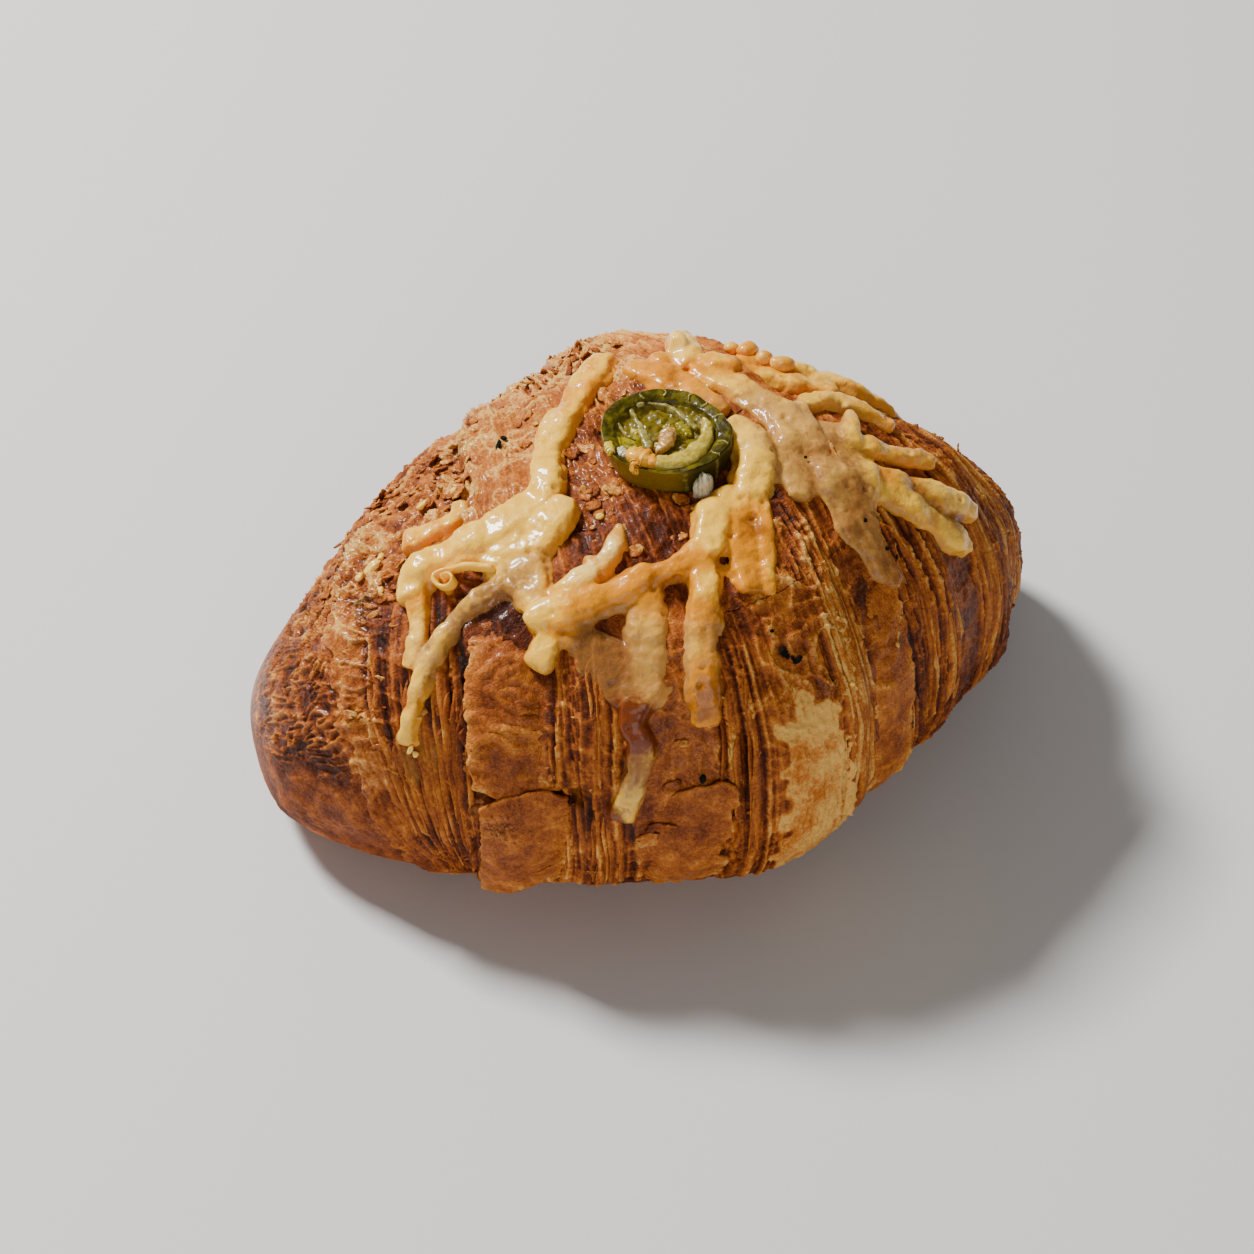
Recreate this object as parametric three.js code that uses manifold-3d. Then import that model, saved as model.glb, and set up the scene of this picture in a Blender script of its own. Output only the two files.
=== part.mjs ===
// A baked croissant with melted cheese and one slice of green chilli pepper on top.
// Millimetres, +Z up. +X runs along the roll, -Y is the rounded front. The origin is under the middle of
// the roll.
//
// Every place on the crust is given by two numbers. The first is the share of the roll's half length, from
// -1 at the left tip to 1 at the right tip. The second is the angle from the crown in degrees, plus towards
// the front and minus to the back.
import * as THREE from 'three';
import { mergeVertices } from 'three/addons/utils/BufferGeometryUtils.js';
import Module from 'manifold-3d';

const wasm = await Module();
wasm.setup();

// Driving sizes of the roll
const AXIS_LENGTH = 156; // along the curved axis, tip to tip
const YAW_LEFT = -48; // heading of the axis at the left tip, degrees from +X
const YAW_RIGHT = 50; // heading of the axis at the right tip
const WIDTH_POWER = 2.35; // squareness of the section, 2 is an ellipse
const HEIGHT_POWER = 2.2;
const WIDEST_SHARE = 0.4; // height of the widest level, as a share of the section's height
const BASE_OVERRUN = 1.12; // the lower half would reach this far below the table, and is cut flat there
const END_ROUND_LEFT = 21; // length of the rounded tips
const END_ROUND_RIGHT = 19;
const END_POWER = 2.4;

// Front half width, back half width and height at nine evenly spaced sections, left tip to right tip
const SECTIONS = [
  [17, 21, 28],
  [35, 37, 50],
  [45, 46, 64],
  [53, 51, 71],
  [58, 55, 75],
  [48, 54, 75],
  [42, 46, 67],
  [33, 36, 48],
  [26, 25, 31],
];

// Edges of the wrapped dough: where each lies, how far its lip stands out, and which way the lip faces
const WRAP_EDGES = [
  { at: -0.66, rise: 2.4, faces: -1 },
  { at: -0.46, rise: 1.9, faces: -1 },
  { at: -0.3, rise: 1.2, faces: -1 },
  { at: -0.09, rise: 1.0, faces: -1 },
  { at: 0.13, rise: 1.8, faces: 1 },
  { at: 0.27, rise: 2.0, faces: 1 },
  { at: 0.38, rise: 1.4, faces: 1 },
  { at: 0.56, rise: 1.9, faces: 1 },
];
const EDGE_SHARPNESS = 0.9; // mm over which a lip drops
const EDGE_FADE = 7; // mm over which the step dies out along the roll
const END_SEAM_LEAN = 0.13; // how far the seam of the left end leans towards the tip at the crown

// The split at the foot of the front, and the two smooth flaps of dough under it
const SPLIT = { from: -0.46, to: -0.25, angle: 76, depth: 3.2, halfHeight: 3.4 };
const FLAPS = [
  { from: -0.435, to: -0.345, top: 81, foot: 112, rise: 1.7 },
  { from: -0.225, to: -0.11, top: 84, foot: 112, rise: 1.5 },
];
const BLISTER_RISE = 0.5; // coarse unevenness of the crust
const CRAGS = { from: -0.84, to: -0.48, back: -22, front: 20, rise: 1.3 }; // crumbly crest of the left end

// How finely the crust is faceted
const CRUST_SIDES = 48;
const CRUST_RING_STEP = 0.045;
const TIP_RINGS = [0.93, 0.955, 0.975, 0.99, 0.999]; // shares of the closely set rings at both tips
const EDGE_RING_GAP = 0.009; // rings on both sides of a wrap edge

const CONTACT_GAP = 0.3; // between touching pieces
const STRAND_SIDES = 8;
const STRAND_STEP = 4.6; // mm between the rings of a cheese strand

// Melted cheese: each strand runs through a few [share, angle, width, thickness] stops on the crust
const MELT_STRANDS = {
  crownToLeftTip: [
    [0.005, -22, 5, 3], [-0.05, -18.5, 7.5, 3.6], [-0.11, -15.5, 7.5, 4], [-0.175, -10, 7, 3.8],
    [-0.235, -5, 7, 3.8], [-0.27, 0, 7, 3.8], [-0.283, 5, 6.5, 4], [-0.335, 9, 8.5, 4.4],
    [-0.4, 13, 9, 4.6], [-0.45, 14.5, 7.5, 4.6],
    [-0.505, 16, 7, 4.6], [-0.55, 20.5, 7.5, 4.8], [-0.55, 26, 5.5, 4],
  ],
  sideClump: [[-0.245, 9, 6, 4.2], [-0.295, 14, 8.4, 4.6], [-0.352, 16.5, 9, 4.2], [-0.41, 16, 8, 3.6]],
  web: [[-0.4, 17, 8, 2.6], [-0.365, 22, 13, 2.8], [-0.345, 28, 9, 2.8], [-0.345, 33, 6, 3]],
  curl: [
    [-0.483, 24, 2.8, 2.6], [-0.495, 20.5, 3.2, 3.2], [-0.465, 18, 3.6, 3.4], [-0.42, 18.5, 3.6, 3.2],
    [-0.38, 22, 3.4, 2.8],
  ],
  longDrip: [
    [-0.385, 25.5, 4.4, 3], [-0.423, 27.5, 4.4, 3.2], [-0.457, 31, 4.4, 3.2], [-0.492, 36, 4.2, 3],
    [-0.517, 42, 4.2, 3], [-0.533, 48.5, 4, 2.8],
    [-0.545, 54.5, 3.9, 2.8], [-0.553, 60, 4.2, 2.8], [-0.557, 65, 5, 2.4],
  ],
  shortDrip: [[-0.55, 22.5, 6, 3.6], [-0.54, 33, 4.4, 3.2], [-0.545, 39, 4.2, 3], [-0.555, 44, 4.2, 2.6]],
  frontBand: [
    [-0.357, 35.5, 3.5, 3.4], [-0.333, 34.5, 6.5, 4.6], [-0.275, 33.5, 7.4, 4.8], [-0.216, 32, 5.6, 4.2],
    [-0.16, 29.7, 6, 4.2], [-0.12, 29.2, 5, 4], [-0.08, 28.3, 6, 4], [-0.042, 26.3, 7, 4],
    [-0.015, 22, 8, 3.6], [0, 17.5, 7, 3],
  ],
  frontStub: [[-0.318, 36, 5.6, 3.4], [-0.33, 40.5, 6, 3.4], [-0.353, 46.5, 6.4, 3.4]],
  paleFork: [
    [-0.17, 17, 2.2, 2.2], [-0.188, 21, 4, 2.8], [-0.22, 25.3, 4.6, 3], [-0.257, 27.8, 5.4, 3],
    [-0.31, 31, 5, 3],
  ],
  paleSpur: [[-0.236, 22.5, 2.4, 2.2], [-0.24, 25, 3.4, 2.6], [-0.255, 28, 4, 2.6]],
  broadDrip: [
    [-0.16, 31, 7.6, 3], [-0.167, 35.5, 7.8, 2.8], [-0.176, 40.5, 8, 2.8], [-0.187, 47, 9, 2.8],
    [-0.2, 52.6, 8.4, 2.6], [-0.219, 59, 5.2, 2.6], [-0.213, 64.6, 5, 2.6], [-0.215, 69, 4.6, 2.4],
    [-0.225, 74, 4.8, 2.4], [-0.239, 79, 5.4, 2.4], [-0.247, 83, 5.6, 2.2],
  ],
  film: [[-0.295, 38, 5, 1.8], [-0.255, 44.5, 9, 1.8], [-0.235, 51, 7, 1.8], [-0.23, 56.5, 4, 1.8]],
  straightDrip: [
    [-0.062, 28, 6.4, 3.4], [-0.071, 34, 6.2, 3.4], [-0.086, 39, 6.2, 3.4], [-0.105, 46.5, 6.4, 3.4],
    [-0.113, 52, 6.4, 3.4], [-0.117, 57.6, 6, 3.2], [-0.12, 63.5, 5, 2.6],
  ],
  pepperDrip: [[0.035, 17, 8, 2.8], [0.02, 23, 7.4, 2.8], [0.004, 31, 6.4, 2.8], [-0.012, 38.5, 5, 2.6]],
  pepperRunnel: [[0.08, 20, 4.6, 2.4], [0.06, 27, 4, 2.2], [0.033, 35, 3.2, 2], [0.016, 40, 2.6, 1.8]],
  pepperLobe: [
    [0.115, 5.5, 5, 3.4], [0.128, 10, 8, 4.4], [0.118, 14.5, 8.4, 4.6], [0.09, 18, 7.6, 4],
    [0.055, 21.5, 7, 3.4],
  ],
  crescent: [
    [0.03, -16, 5, 2], [0.065, -11.5, 7, 2.2], [0.09, -7, 7, 2.4], [0.11, -3, 6.5, 2.4],
    [0.13, 3, 5, 2.2],
  ],
  clearBand: [
    [0.17, -8, 6, 2.6], [0.215, 0, 7, 2.8], [0.237, 7.5, 8, 3], [0.215, 14, 8, 3.2], [0.18, 19.5, 8.4, 3.2],
    [0.145, 26.5, 6.5, 3],
  ],
  upright: [[0.305, 6, 3, 3], [0.28, 10, 5, 3.4], [0.25, 15, 5.5, 3], [0.22, 20, 5, 2.6]],
  bridge: [[0.21, 14, 6, 2.2], [0.25, 17, 8, 2.2], [0.29, 19, 9, 2.2]],
  sheet: [
    [0.33, 14, 9, 2.2], [0.285, 21, 14, 2.4], [0.255, 29, 14, 2.4], [0.235, 36, 10, 2.2], [0.235, 43, 8, 2],
    [0.24, 50, 6, 1.8], [0.25, 55, 4, 1.6],
  ],
  peak: [[0.385, 13.5, 2.6, 3.4], [0.345, 18, 5, 3.6], [0.305, 23, 7, 3]],
  thinRunner: [
    [0.33, 22, 5, 2.6], [0.385, 24.5, 4.4, 2.6], [0.43, 27.8, 4, 2.6], [0.47, 31, 3.8, 2.4],
    [0.49, 34, 3, 2],
  ],
  forkUpper: [
    [0.295, 30, 7, 3], [0.335, 33, 7, 3.2],
    [0.39, 37, 6.4, 3.4], [0.443, 43, 6.8, 3.4], [0.485, 48.5, 5.6, 3.2],
    [0.502, 51.5, 3.6, 2.6],
  ],
  forkLower: [
    [0.3, 33, 6, 3], [0.345, 38.5, 6.4, 3.2],
    [0.375, 44.5, 6.2, 3.2], [0.408, 50.5, 6.4, 3.4], [0.437, 55.5, 6, 3],
    [0.452, 58.5, 4, 2.6],
  ],
  crownPeak: [
    [0.085, -13.5, 4, 2.4], [0.135, -12.5, 6.5, 3.2], [0.18, -12, 8, 3.6], [0.215, -15.5, 7, 3.6],
    [0.25, -20.5, 4.5, 2.8],
  ],
  crownRunner: [
    [0.17, -9, 6, 2.8], [0.23, -6.5, 6, 3], [0.29, -4, 6, 3], [0.345, -1, 6, 3], [0.4, 2, 6, 3],
    [0.45, 5, 5, 2.6],
  ],
  skyline: [
    [0.3, -8, 5, 3], [0.345, -6.5, 6, 3.4], [0.39, -3.5, 5, 3], [0.43, -1.5, 5, 3], [0.47, 2, 5, 3],
    [0.52, 8, 4.6, 2.8], [0.58, 16, 4, 2.4],
  ],
  crumpled: [
    [0.305, 6.5, 4, 3], [0.36, 7.5, 5, 3], [0.41, 10, 5, 3], [0.455, 15, 4.6, 2.8], [0.475, 20, 4, 2.4],
  ],
};
const DROP_STRANDS = {
  drop: [[-0.585, 7.5, 6.6, 4], [-0.535, 8, 6.4, 4], [-0.485, 5.5, 5, 3], [-0.465, 2, 4, 2.6]],
};

// The slice of pepper: a dark wall around a sunken seed bed, with a raised sickle of pith
const PEPPER = {
  radius: 11.2, wall: 2.3, thickness: 6.6, at: { share: -0.032, angle: 5 }, sunk: 1.6,
  tilt: 3, unevenness: 0.035, sides: 30, bevel: 0.5,
  bedTop: 4, pithWidth: 2.6, pithRadius: 6.3, pithTop: 5.5, pithFrom: -118, pithTo: 12,
};
// The shred of cheese that lies in the slice: [x, y] stops from its centre, with width and thickness
const SHRED = [[-6.6, 0.4, 2.6, 1.8], [-6.4, -1.8, 3.6, 2.2], [-5.6, -3.6, 3.8, 2.2], [-4.9, -4.6, 2.8, 1.8]];

const degrees = THREE.MathUtils.degToRad;
const clamp = THREE.MathUtils.clamp;
const smooth = THREE.MathUtils.smoothstep;

const material = (name, color, roughness) =>
  new THREE.MeshStandardMaterial({ name, color, roughness, metalness: 0 });
const CRUST = material('crust', '#a8622b', 0.5);
const CHEESE = material('cheese', '#e3c27a', 0.4);
const TOASTED_CHEESE = material('toasted cheese', '#d99a4e', 0.45);
const PEPPER_GREEN = material('pepper', '#5d6a1c', 0.3);

// Catmull-Rom value through evenly spaced numbers, t from 0 to 1
function through(values, t) {
  const last = values.length - 1;
  const x = clamp(t, 0, 1) * last;
  const i = Math.min(Math.floor(x), last - 1);
  const f = x - i;
  const [a, b, c, d] = [values[Math.max(i - 1, 0)], values[i], values[i + 1], values[Math.min(i + 2, last)]];
  return 0.5 * (2 * b + (c - a) * f + (2 * a - 5 * b + 4 * c - d) * f * f + (3 * b - a - 3 * c + d) * f ** 3);
}

const FRONT_WIDTHS = SECTIONS.map((row) => row[0]);
const BACK_WIDTHS = SECTIONS.map((row) => row[1]);
const HEIGHTS = SECTIONS.map((row) => row[2]);
const AXIS_RADIUS = AXIS_LENGTH / degrees(YAW_RIGHT - YAW_LEFT);
const headingAt = (share) => degrees(YAW_LEFT + ((YAW_RIGHT - YAW_LEFT) * (share + 1)) / 2);

const signedPower = (value, power) => Math.sign(value) * Math.abs(value) ** power;

// How far a section is drawn in near the tips, 1 over most of the roll
function tipRounding(share) {
  const left = clamp(((AXIS_LENGTH / 2) * (share + 1)) / END_ROUND_LEFT, 0, 1);
  const right = clamp(((AXIS_LENGTH / 2) * (1 - share)) / END_ROUND_RIGHT, 0, 1);
  const profile = (x) => (1 - (1 - x) ** END_POWER) ** (1 / END_POWER);
  return Math.min(profile(left), profile(right));
}

// A point of the smooth roll, without wraps and splits
function smoothRoll(share, angle) {
  const t = (share + 1) / 2;
  const heading = headingAt(share);
  const rounding = tipRounding(share);
  const height = through(HEIGHTS, t);
  const widest = WIDEST_SHARE * height;
  const sin = Math.sin(degrees(angle));
  const cos = Math.cos(degrees(angle));
  const halfWidth = through(sin > 0 ? FRONT_WIDTHS : BACK_WIDTHS, t) * rounding;
  const reach = cos > 0 ? (height - widest) * rounding : widest * BASE_OVERRUN * (0.35 + 0.65 * rounding);
  const out = halfWidth * signedPower(sin, 2 / WIDTH_POWER);
  return new THREE.Vector3(
    AXIS_RADIUS * Math.sin(heading) + out * Math.sin(heading),
    -AXIS_RADIUS * Math.cos(heading) - out * Math.cos(heading),
    Math.max(0, widest + reach * signedPower(cos, 2 / HEIGHT_POWER)),
  );
}

// Outward direction of the smooth roll, from two short steps along it
function outward(share, angle) {
  const step = 0.004;
  const s = clamp(share, -1 + 2 * step, 1 - 2 * step);
  const along = smoothRoll(s + step, angle).sub(smoothRoll(s - step, angle));
  const around = smoothRoll(s, angle + 1).sub(smoothRoll(s, angle - 1));
  return around.cross(along).normalize();
}

// The seam of the left end leans: the share at which a wrap line passes this angle
const lean = (wrap, angle) =>
  -END_SEAM_LEAN * (Math.cos(degrees(angle)) - 0.5) * smooth(-wrap, 0.42, 0.66) * smooth(wrap, -1, -0.8);

// 1 inside a band of values and 0 outside it, with soft edges
const band = (value, from, to, soft) => smooth(value, from - soft, from) * (1 - smooth(value, to, to + soft));

// How far the crust stands out from the smooth roll
function relief(share, angle) {
  const wrap = share - lean(share, angle);
  const onTop = 1 - smooth(Math.abs(angle), 112, 132);
  let height = 0;
  for (const edge of WRAP_EDGES) {
    const inside = -edge.faces * (wrap - edge.at) * (AXIS_LENGTH / 2);
    height += (edge.rise / 2) * Math.tanh(inside / EDGE_SHARPNESS) * Math.exp(-Math.abs(inside) / EDGE_FADE);
  }
  for (const flap of FLAPS) {
    height += flap.rise * band(share, flap.from, flap.to, 0.008) * band(angle, flap.top, flap.foot, 2.5);
  }
  const across = (angle - SPLIT.angle) / SPLIT.halfHeight;
  height -= SPLIT.depth * band(share, SPLIT.from, SPLIT.to, 0.03) * Math.exp(-across * across);
  height += BLISTER_RISE * Math.sin(share * 23 + angle * 0.07) * Math.cos(share * 9 - angle * 0.11);
  const crumbly = band(share, CRAGS.from, CRAGS.to, 0.08) * band(angle, CRAGS.back, CRAGS.front, 10);
  height += CRAGS.rise * crumbly * Math.sin(share * 71 + angle * 0.4) * Math.cos(share * 37 - angle * 0.33);
  return height * onTop * smooth(1 - Math.abs(share), 0.02, 0.2);
}

// A point at a given lift above the crust
const onCrust = (share, angle, lift) =>
  smoothRoll(share, angle).addScaledVector(outward(share, angle), relief(share, angle) + lift);

// Ring positions along the roll: evenly spread, with a pair at every wrap edge
function ringShares() {
  const shares = TIP_RINGS.flatMap((share) => [-share, share]);
  for (let share = -0.9; share < 0.91; share += CRUST_RING_STEP) shares.push(share);
  for (const edge of WRAP_EDGES) shares.push(edge.at - EDGE_RING_GAP, edge.at + EDGE_RING_GAP);
  shares.sort((a, b) => a - b);
  return shares.filter((share, i) => i === 0 || share - shares[i - 1] > 0.006);
}

// A ball whose rings are moved to the given places, with its two poles as the ends
function drawnOutBall(sides, ringCount, placeOf) {
  const ball = new THREE.SphereGeometry(1, sides, ringCount + 1);
  const position = ball.attributes.position;
  for (let i = 0; i < position.count; i += 1) {
    const ring = Math.floor(i / (sides + 1));
    const side = (i % (sides + 1)) % sides;
    const point = placeOf(ring, 180 - (side / sides) * 360);
    position.setXYZ(i, point.x, point.y, point.z);
  }
  return closed(ball);
}

// Keeps only position, and joins vertices that coincide
function closed(geometry) {
  geometry.deleteAttribute('normal');
  geometry.deleteAttribute('uv');
  return mergeVertices(geometry, 1e-4);
}

// The crust as a closed skin, a lift away from the real one
function crustGeometry(lift) {
  const shares = ringShares();
  return drawnOutBall(CRUST_SIDES, shares.length, (ring, angle) => {
    if (ring === 0 || ring === shares.length + 1) {
      const end = ring === 0 ? -1 : 1;
      const point = smoothRoll(end, 90);
      const outAlongAxis = new THREE.Vector3(Math.cos(headingAt(end)), Math.sin(headingAt(end)), 0);
      return point.addScaledVector(outAlongAxis, end * lift);
    }
    const wrap = shares[ring - 1];
    return onCrust(wrap + lean(wrap, angle), angle, lift);
  });
}

const toSolid = (geometry) =>
  new wasm.Manifold(
    new wasm.Mesh({
      numProp: 3,
      vertProperties: new Float32Array(geometry.attributes.position.array),
      triVerts: new Uint32Array(geometry.index.array),
    }),
  );

function toGeometry(solid) {
  const { vertProperties, triVerts } = solid.getMesh();
  const geometry = new THREE.BufferGeometry();
  geometry.setAttribute('position', new THREE.BufferAttribute(new Float32Array(vertProperties), 3));
  geometry.setIndex(new THREE.BufferAttribute(new Uint32Array(triVerts), 1));
  return geometry;
}

// A strand of melted cheese along stops of [share, angle, width, thickness]
function strandGeometry(stops) {
  const valueAt = (column, t) => through(stops.map((stop) => stop[column]), t);
  const middle = (t, lift) => onCrust(valueAt(0, t), valueAt(1, t), lift);
  let length = 0;
  for (let i = 1; i <= 20; i += 1) length += middle(i / 20, 0).distanceTo(middle((i - 1) / 20, 0));
  const rings = Math.max(5, Math.round(length / STRAND_STEP));
  return drawnOutBall(STRAND_SIDES, rings, (ring, turn) => {
    const t = (1 - Math.cos((Math.PI * ring) / (rings + 1))) / 2;
    const even = 0.35 * t + (0.65 * ring) / (rings + 1);
    const rounding = Math.min(1, Math.sqrt(Math.max(0, Math.sin((Math.PI * ring) / (rings + 1)) * 1.7)));
    const normal = outward(valueAt(0, even), valueAt(1, even));
    const ahead = middle(Math.min(1, even + 0.02), 0).sub(middle(Math.max(0, even - 0.02), 0)).normalize();
    const across = new THREE.Vector3().crossVectors(ahead, normal).normalize();
    const thickness = valueAt(3, even);
    return middle(even, thickness * 0.28)
      .addScaledVector(across, (valueAt(2, even) / 2) * rounding * Math.sin(degrees(turn)))
      .addScaledVector(normal, (thickness * 0.72) * rounding * Math.cos(degrees(turn)));
  });
}

// All strands of one melt, joined, and cut clear of the crust and the pepper
function melt(strands, cutters) {
  let solid = null;
  for (const stops of Object.values(strands)) {
    const strand = toSolid(strandGeometry(stops));
    solid = solid ? solid.add(strand) : strand;
  }
  for (const cutter of cutters) solid = solid.subtract(cutter);
  return largestPiece(solid);
}

// Cutting can leave loose scraps, which are dropped
function largestPiece(solid) {
  const pieces = solid.decompose();
  return pieces.reduce((best, piece) => (piece.volume() > best.volume() ? piece : best));
}

// Outline of the pepper, a little uneven, grown by a margin
function pepperOutline(radius) {
  const points = [];
  for (let i = 0; i < PEPPER.sides; i += 1) {
    const turn = (i / PEPPER.sides) * 2 * Math.PI;
    const uneven = 1 + PEPPER.unevenness * (Math.cos(2 * turn + 0.6) * 0.7 + Math.cos(5 * turn) * 0.35);
    points.push(new THREE.Vector2(radius * uneven * Math.cos(turn), radius * uneven * Math.sin(turn)));
  }
  return new THREE.Shape(points);
}

function extruded(shape, depth, bevel) {
  const geometry = new THREE.ExtrudeGeometry(shape, {
    depth: depth - 2 * bevel,
    bevelEnabled: bevel > 0,
    bevelThickness: bevel,
    bevelSize: bevel,
    bevelOffset: -bevel,
    bevelSegments: 1,
  });
  geometry.translate(0, 0, bevel);
  return closed(geometry);
}

// Frame of the slice: its underside sinks a little into the crust
function pepperFrame() {
  const foot = onCrust(PEPPER.at.share, PEPPER.at.angle, -PEPPER.sunk);
  return new THREE.Matrix4().makeTranslation(foot.x, foot.y, foot.z)
    .multiply(new THREE.Matrix4().makeRotationX(degrees(PEPPER.tilt)));
}

// The raised sickle of pith as a flat outline, thin at both ends
function pithOutline() {
  const steps = 10;
  const arc = (side) => (_, i) => {
    const t = i / steps;
    const turn = degrees(PEPPER.pithFrom + (PEPPER.pithTo - PEPPER.pithFrom) * t);
    const radius = PEPPER.pithRadius + side * PEPPER.pithWidth * (0.15 + 0.35 * Math.sin(Math.PI * t));
    return new THREE.Vector2(radius * Math.cos(turn), radius * Math.sin(turn));
  };
  const outer = Array.from({ length: steps + 1 }, arc(1));
  const inner = Array.from({ length: steps + 1 }, arc(-1)).reverse();
  return new THREE.Shape([...outer, ...inner]);
}

const placed = (solid, matrix) => toSolid(closed(toGeometry(solid).applyMatrix4(matrix)));

function pepperSolid(crustCutter) {
  const recess = extruded(pepperOutline(PEPPER.radius - PEPPER.wall), PEPPER.thickness, 0);
  let solid = toSolid(extruded(pepperOutline(PEPPER.radius), PEPPER.thickness, PEPPER.bevel));
  solid = solid.subtract(toSolid(recess.translate(0, 0, PEPPER.bedTop)));
  solid = solid.add(toSolid(extruded(pithOutline(), PEPPER.pithTop, 0)));
  return largestPiece(placed(solid, pepperFrame()).subtract(crustCutter));
}

// Space that the slice takes, from below the crust to above its rim
function pepperCutter() {
  const shape = pepperOutline(PEPPER.radius + CONTACT_GAP);
  const block = extruded(shape, PEPPER.thickness + 12, 0).translate(0, 0, -6);
  return toSolid(block.applyMatrix4(pepperFrame()));
}

// The shred rests on the seed bed, inside the ring
function shredSolid() {
  const frame = pepperFrame();
  const rings = 9;
  const value = (column, t) => through(SHRED.map((stop) => stop[column]), t);
  const geometry = drawnOutBall(STRAND_SIDES, rings, (ring, turn) => {
    const t = ring / (rings + 1);
    const rounding = Math.min(1, Math.sqrt(Math.sin(Math.PI * t) * 1.6));
    const run = (column) => value(column, t + 0.03) - value(column, t - 0.03);
    const ahead = new THREE.Vector2(run(0), run(1)).normalize();
    const half = (value(2, t) / 2) * rounding * Math.sin(degrees(turn));
    const rise = (value(3, t) / 2) * (1 + rounding * Math.cos(degrees(turn)));
    return new THREE.Vector3(
      value(0, t) + ahead.y * half,
      value(1, t) - ahead.x * half,
      PEPPER.bedTop + CONTACT_GAP + rise,
    ).applyMatrix4(frame);
  });
  const ringShape = pepperOutline(PEPPER.radius + 2);
  ringShape.holes.push(pepperOutline(PEPPER.radius - PEPPER.wall - CONTACT_GAP));
  const ring = extruded(ringShape, PEPPER.thickness + CONTACT_GAP, 0).applyMatrix4(frame);
  return toSolid(geometry).subtract(toSolid(ring));
}

const object = new THREE.Group();

function addNode(name, geometry, finish) {
  const mesh = new THREE.Mesh(geometry, finish);
  mesh.name = name;
  object.add(mesh);
}

const crustCutter = toSolid(crustGeometry(CONTACT_GAP));
const sliceCutter = pepperCutter();
addNode('croissant', crustGeometry(0), CRUST);
addNode('melted_cheese', toGeometry(melt(MELT_STRANDS, [crustCutter, sliceCutter])), CHEESE);
addNode('cheese_drop', toGeometry(melt(DROP_STRANDS, [crustCutter])), TOASTED_CHEESE);
addNode('pepper_slice', toGeometry(pepperSolid(crustCutter)), PEPPER_GREEN);
addNode('cheese_shred_in_pepper', toGeometry(shredSolid()), TOASTED_CHEESE);

// The origin lies under the middle of the roll's outline
const outline = new THREE.Box3().setFromObject(object);
const middle = outline.getCenter(new THREE.Vector3());
object.position.set(-middle.x, -middle.y, -outline.min.z);

export default object;
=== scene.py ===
"""A baked croissant with melted cheese and a slice of green chilli pepper, dressed for its photograph's view.

Every place on the crust is given by two numbers: the share of the roll's half length, from -1 at the left tip to
1 at the right tip, and the angle from the crown in degrees, plus towards the rounded front. Sizes are in
millimetres until a mesh is written.
"""
import logging
import math
from dataclasses import dataclass
from enum import Enum
from typing import Any, Callable, Iterable, Sequence

import bpy
import numpy as np
from mathutils import Matrix, Vector
from mathutils.kdtree import KDTree

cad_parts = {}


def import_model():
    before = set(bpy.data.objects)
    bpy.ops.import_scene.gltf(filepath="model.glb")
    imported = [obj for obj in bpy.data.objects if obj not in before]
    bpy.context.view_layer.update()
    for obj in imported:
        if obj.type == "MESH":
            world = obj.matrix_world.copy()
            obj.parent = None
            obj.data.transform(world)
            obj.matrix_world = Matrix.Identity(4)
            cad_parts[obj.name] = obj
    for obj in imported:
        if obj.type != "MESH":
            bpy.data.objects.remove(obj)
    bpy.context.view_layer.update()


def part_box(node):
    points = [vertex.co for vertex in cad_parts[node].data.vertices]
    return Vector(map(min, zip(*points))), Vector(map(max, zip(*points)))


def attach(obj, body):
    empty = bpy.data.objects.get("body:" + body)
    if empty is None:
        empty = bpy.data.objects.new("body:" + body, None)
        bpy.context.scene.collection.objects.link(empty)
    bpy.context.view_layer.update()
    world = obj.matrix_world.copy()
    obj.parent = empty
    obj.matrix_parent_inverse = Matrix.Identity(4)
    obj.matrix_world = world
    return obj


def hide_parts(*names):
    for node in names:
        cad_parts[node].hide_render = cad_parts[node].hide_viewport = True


Array = np.ndarray
Colour = tuple[float, float, float, float]
Finish = bpy.types.Material
Pair = tuple[float, float]
Triple = tuple[float, float, float]
Thing = bpy.types.Object
MM = 0.001
MM_PER_DEGREE = 0.61
log = logging.getLogger("croissant")


def linear(value: int) -> float:
    """One channel of a screen colour, 0 to 255, as the number that a shader takes."""
    share = value / 255
    return share / 12.92 if share <= 0.04045 else ((share + 0.055) / 1.055) ** 2.4


def srgb(red: int, green: int, blue: int) -> Colour:
    """A screen colour as the linear colour that a shader takes."""
    return linear(red), linear(green), linear(blue), 1.0


def ease(value: Array, low: float, high: float) -> Array:
    """0 below low, 1 above high and smooth between them."""
    t = np.clip((np.asarray(value, float) - low) / (high - low), 0, 1)
    return t * t * (3 - 2 * t)


def through(values: Sequence[float], t: Array) -> Array:
    """A smooth value through evenly spaced numbers.

    Args:
        values: The numbers.
        t: Where to read them, 0 at the first and 1 at the last.

    Returns:
        The Catmull-Rom value at each t.
    """
    v = np.asarray(values, float)
    last = len(v) - 1
    x = np.clip(np.asarray(t, float), 0, 1) * last
    i = np.minimum(x.astype(int), last - 1)
    f = x - i
    a, b, c, d = v[np.maximum(i - 1, 0)], v[i], v[i + 1], v[np.minimum(i + 2, last)]
    return 0.5 * (2 * b + (c - a) * f + (2 * a - 5 * b + 4 * c - d) * f**2 + (3 * b - a - 3 * c + d) * f**3)


def xyz(x: Array | float, y: Array | float = 0.0, z: Array | float = 0.0) -> Array:
    """N by 3 numbers from three columns, each with a number for every row or one for all."""
    return np.stack(np.broadcast_arrays(x, y, z), -1)


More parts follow.
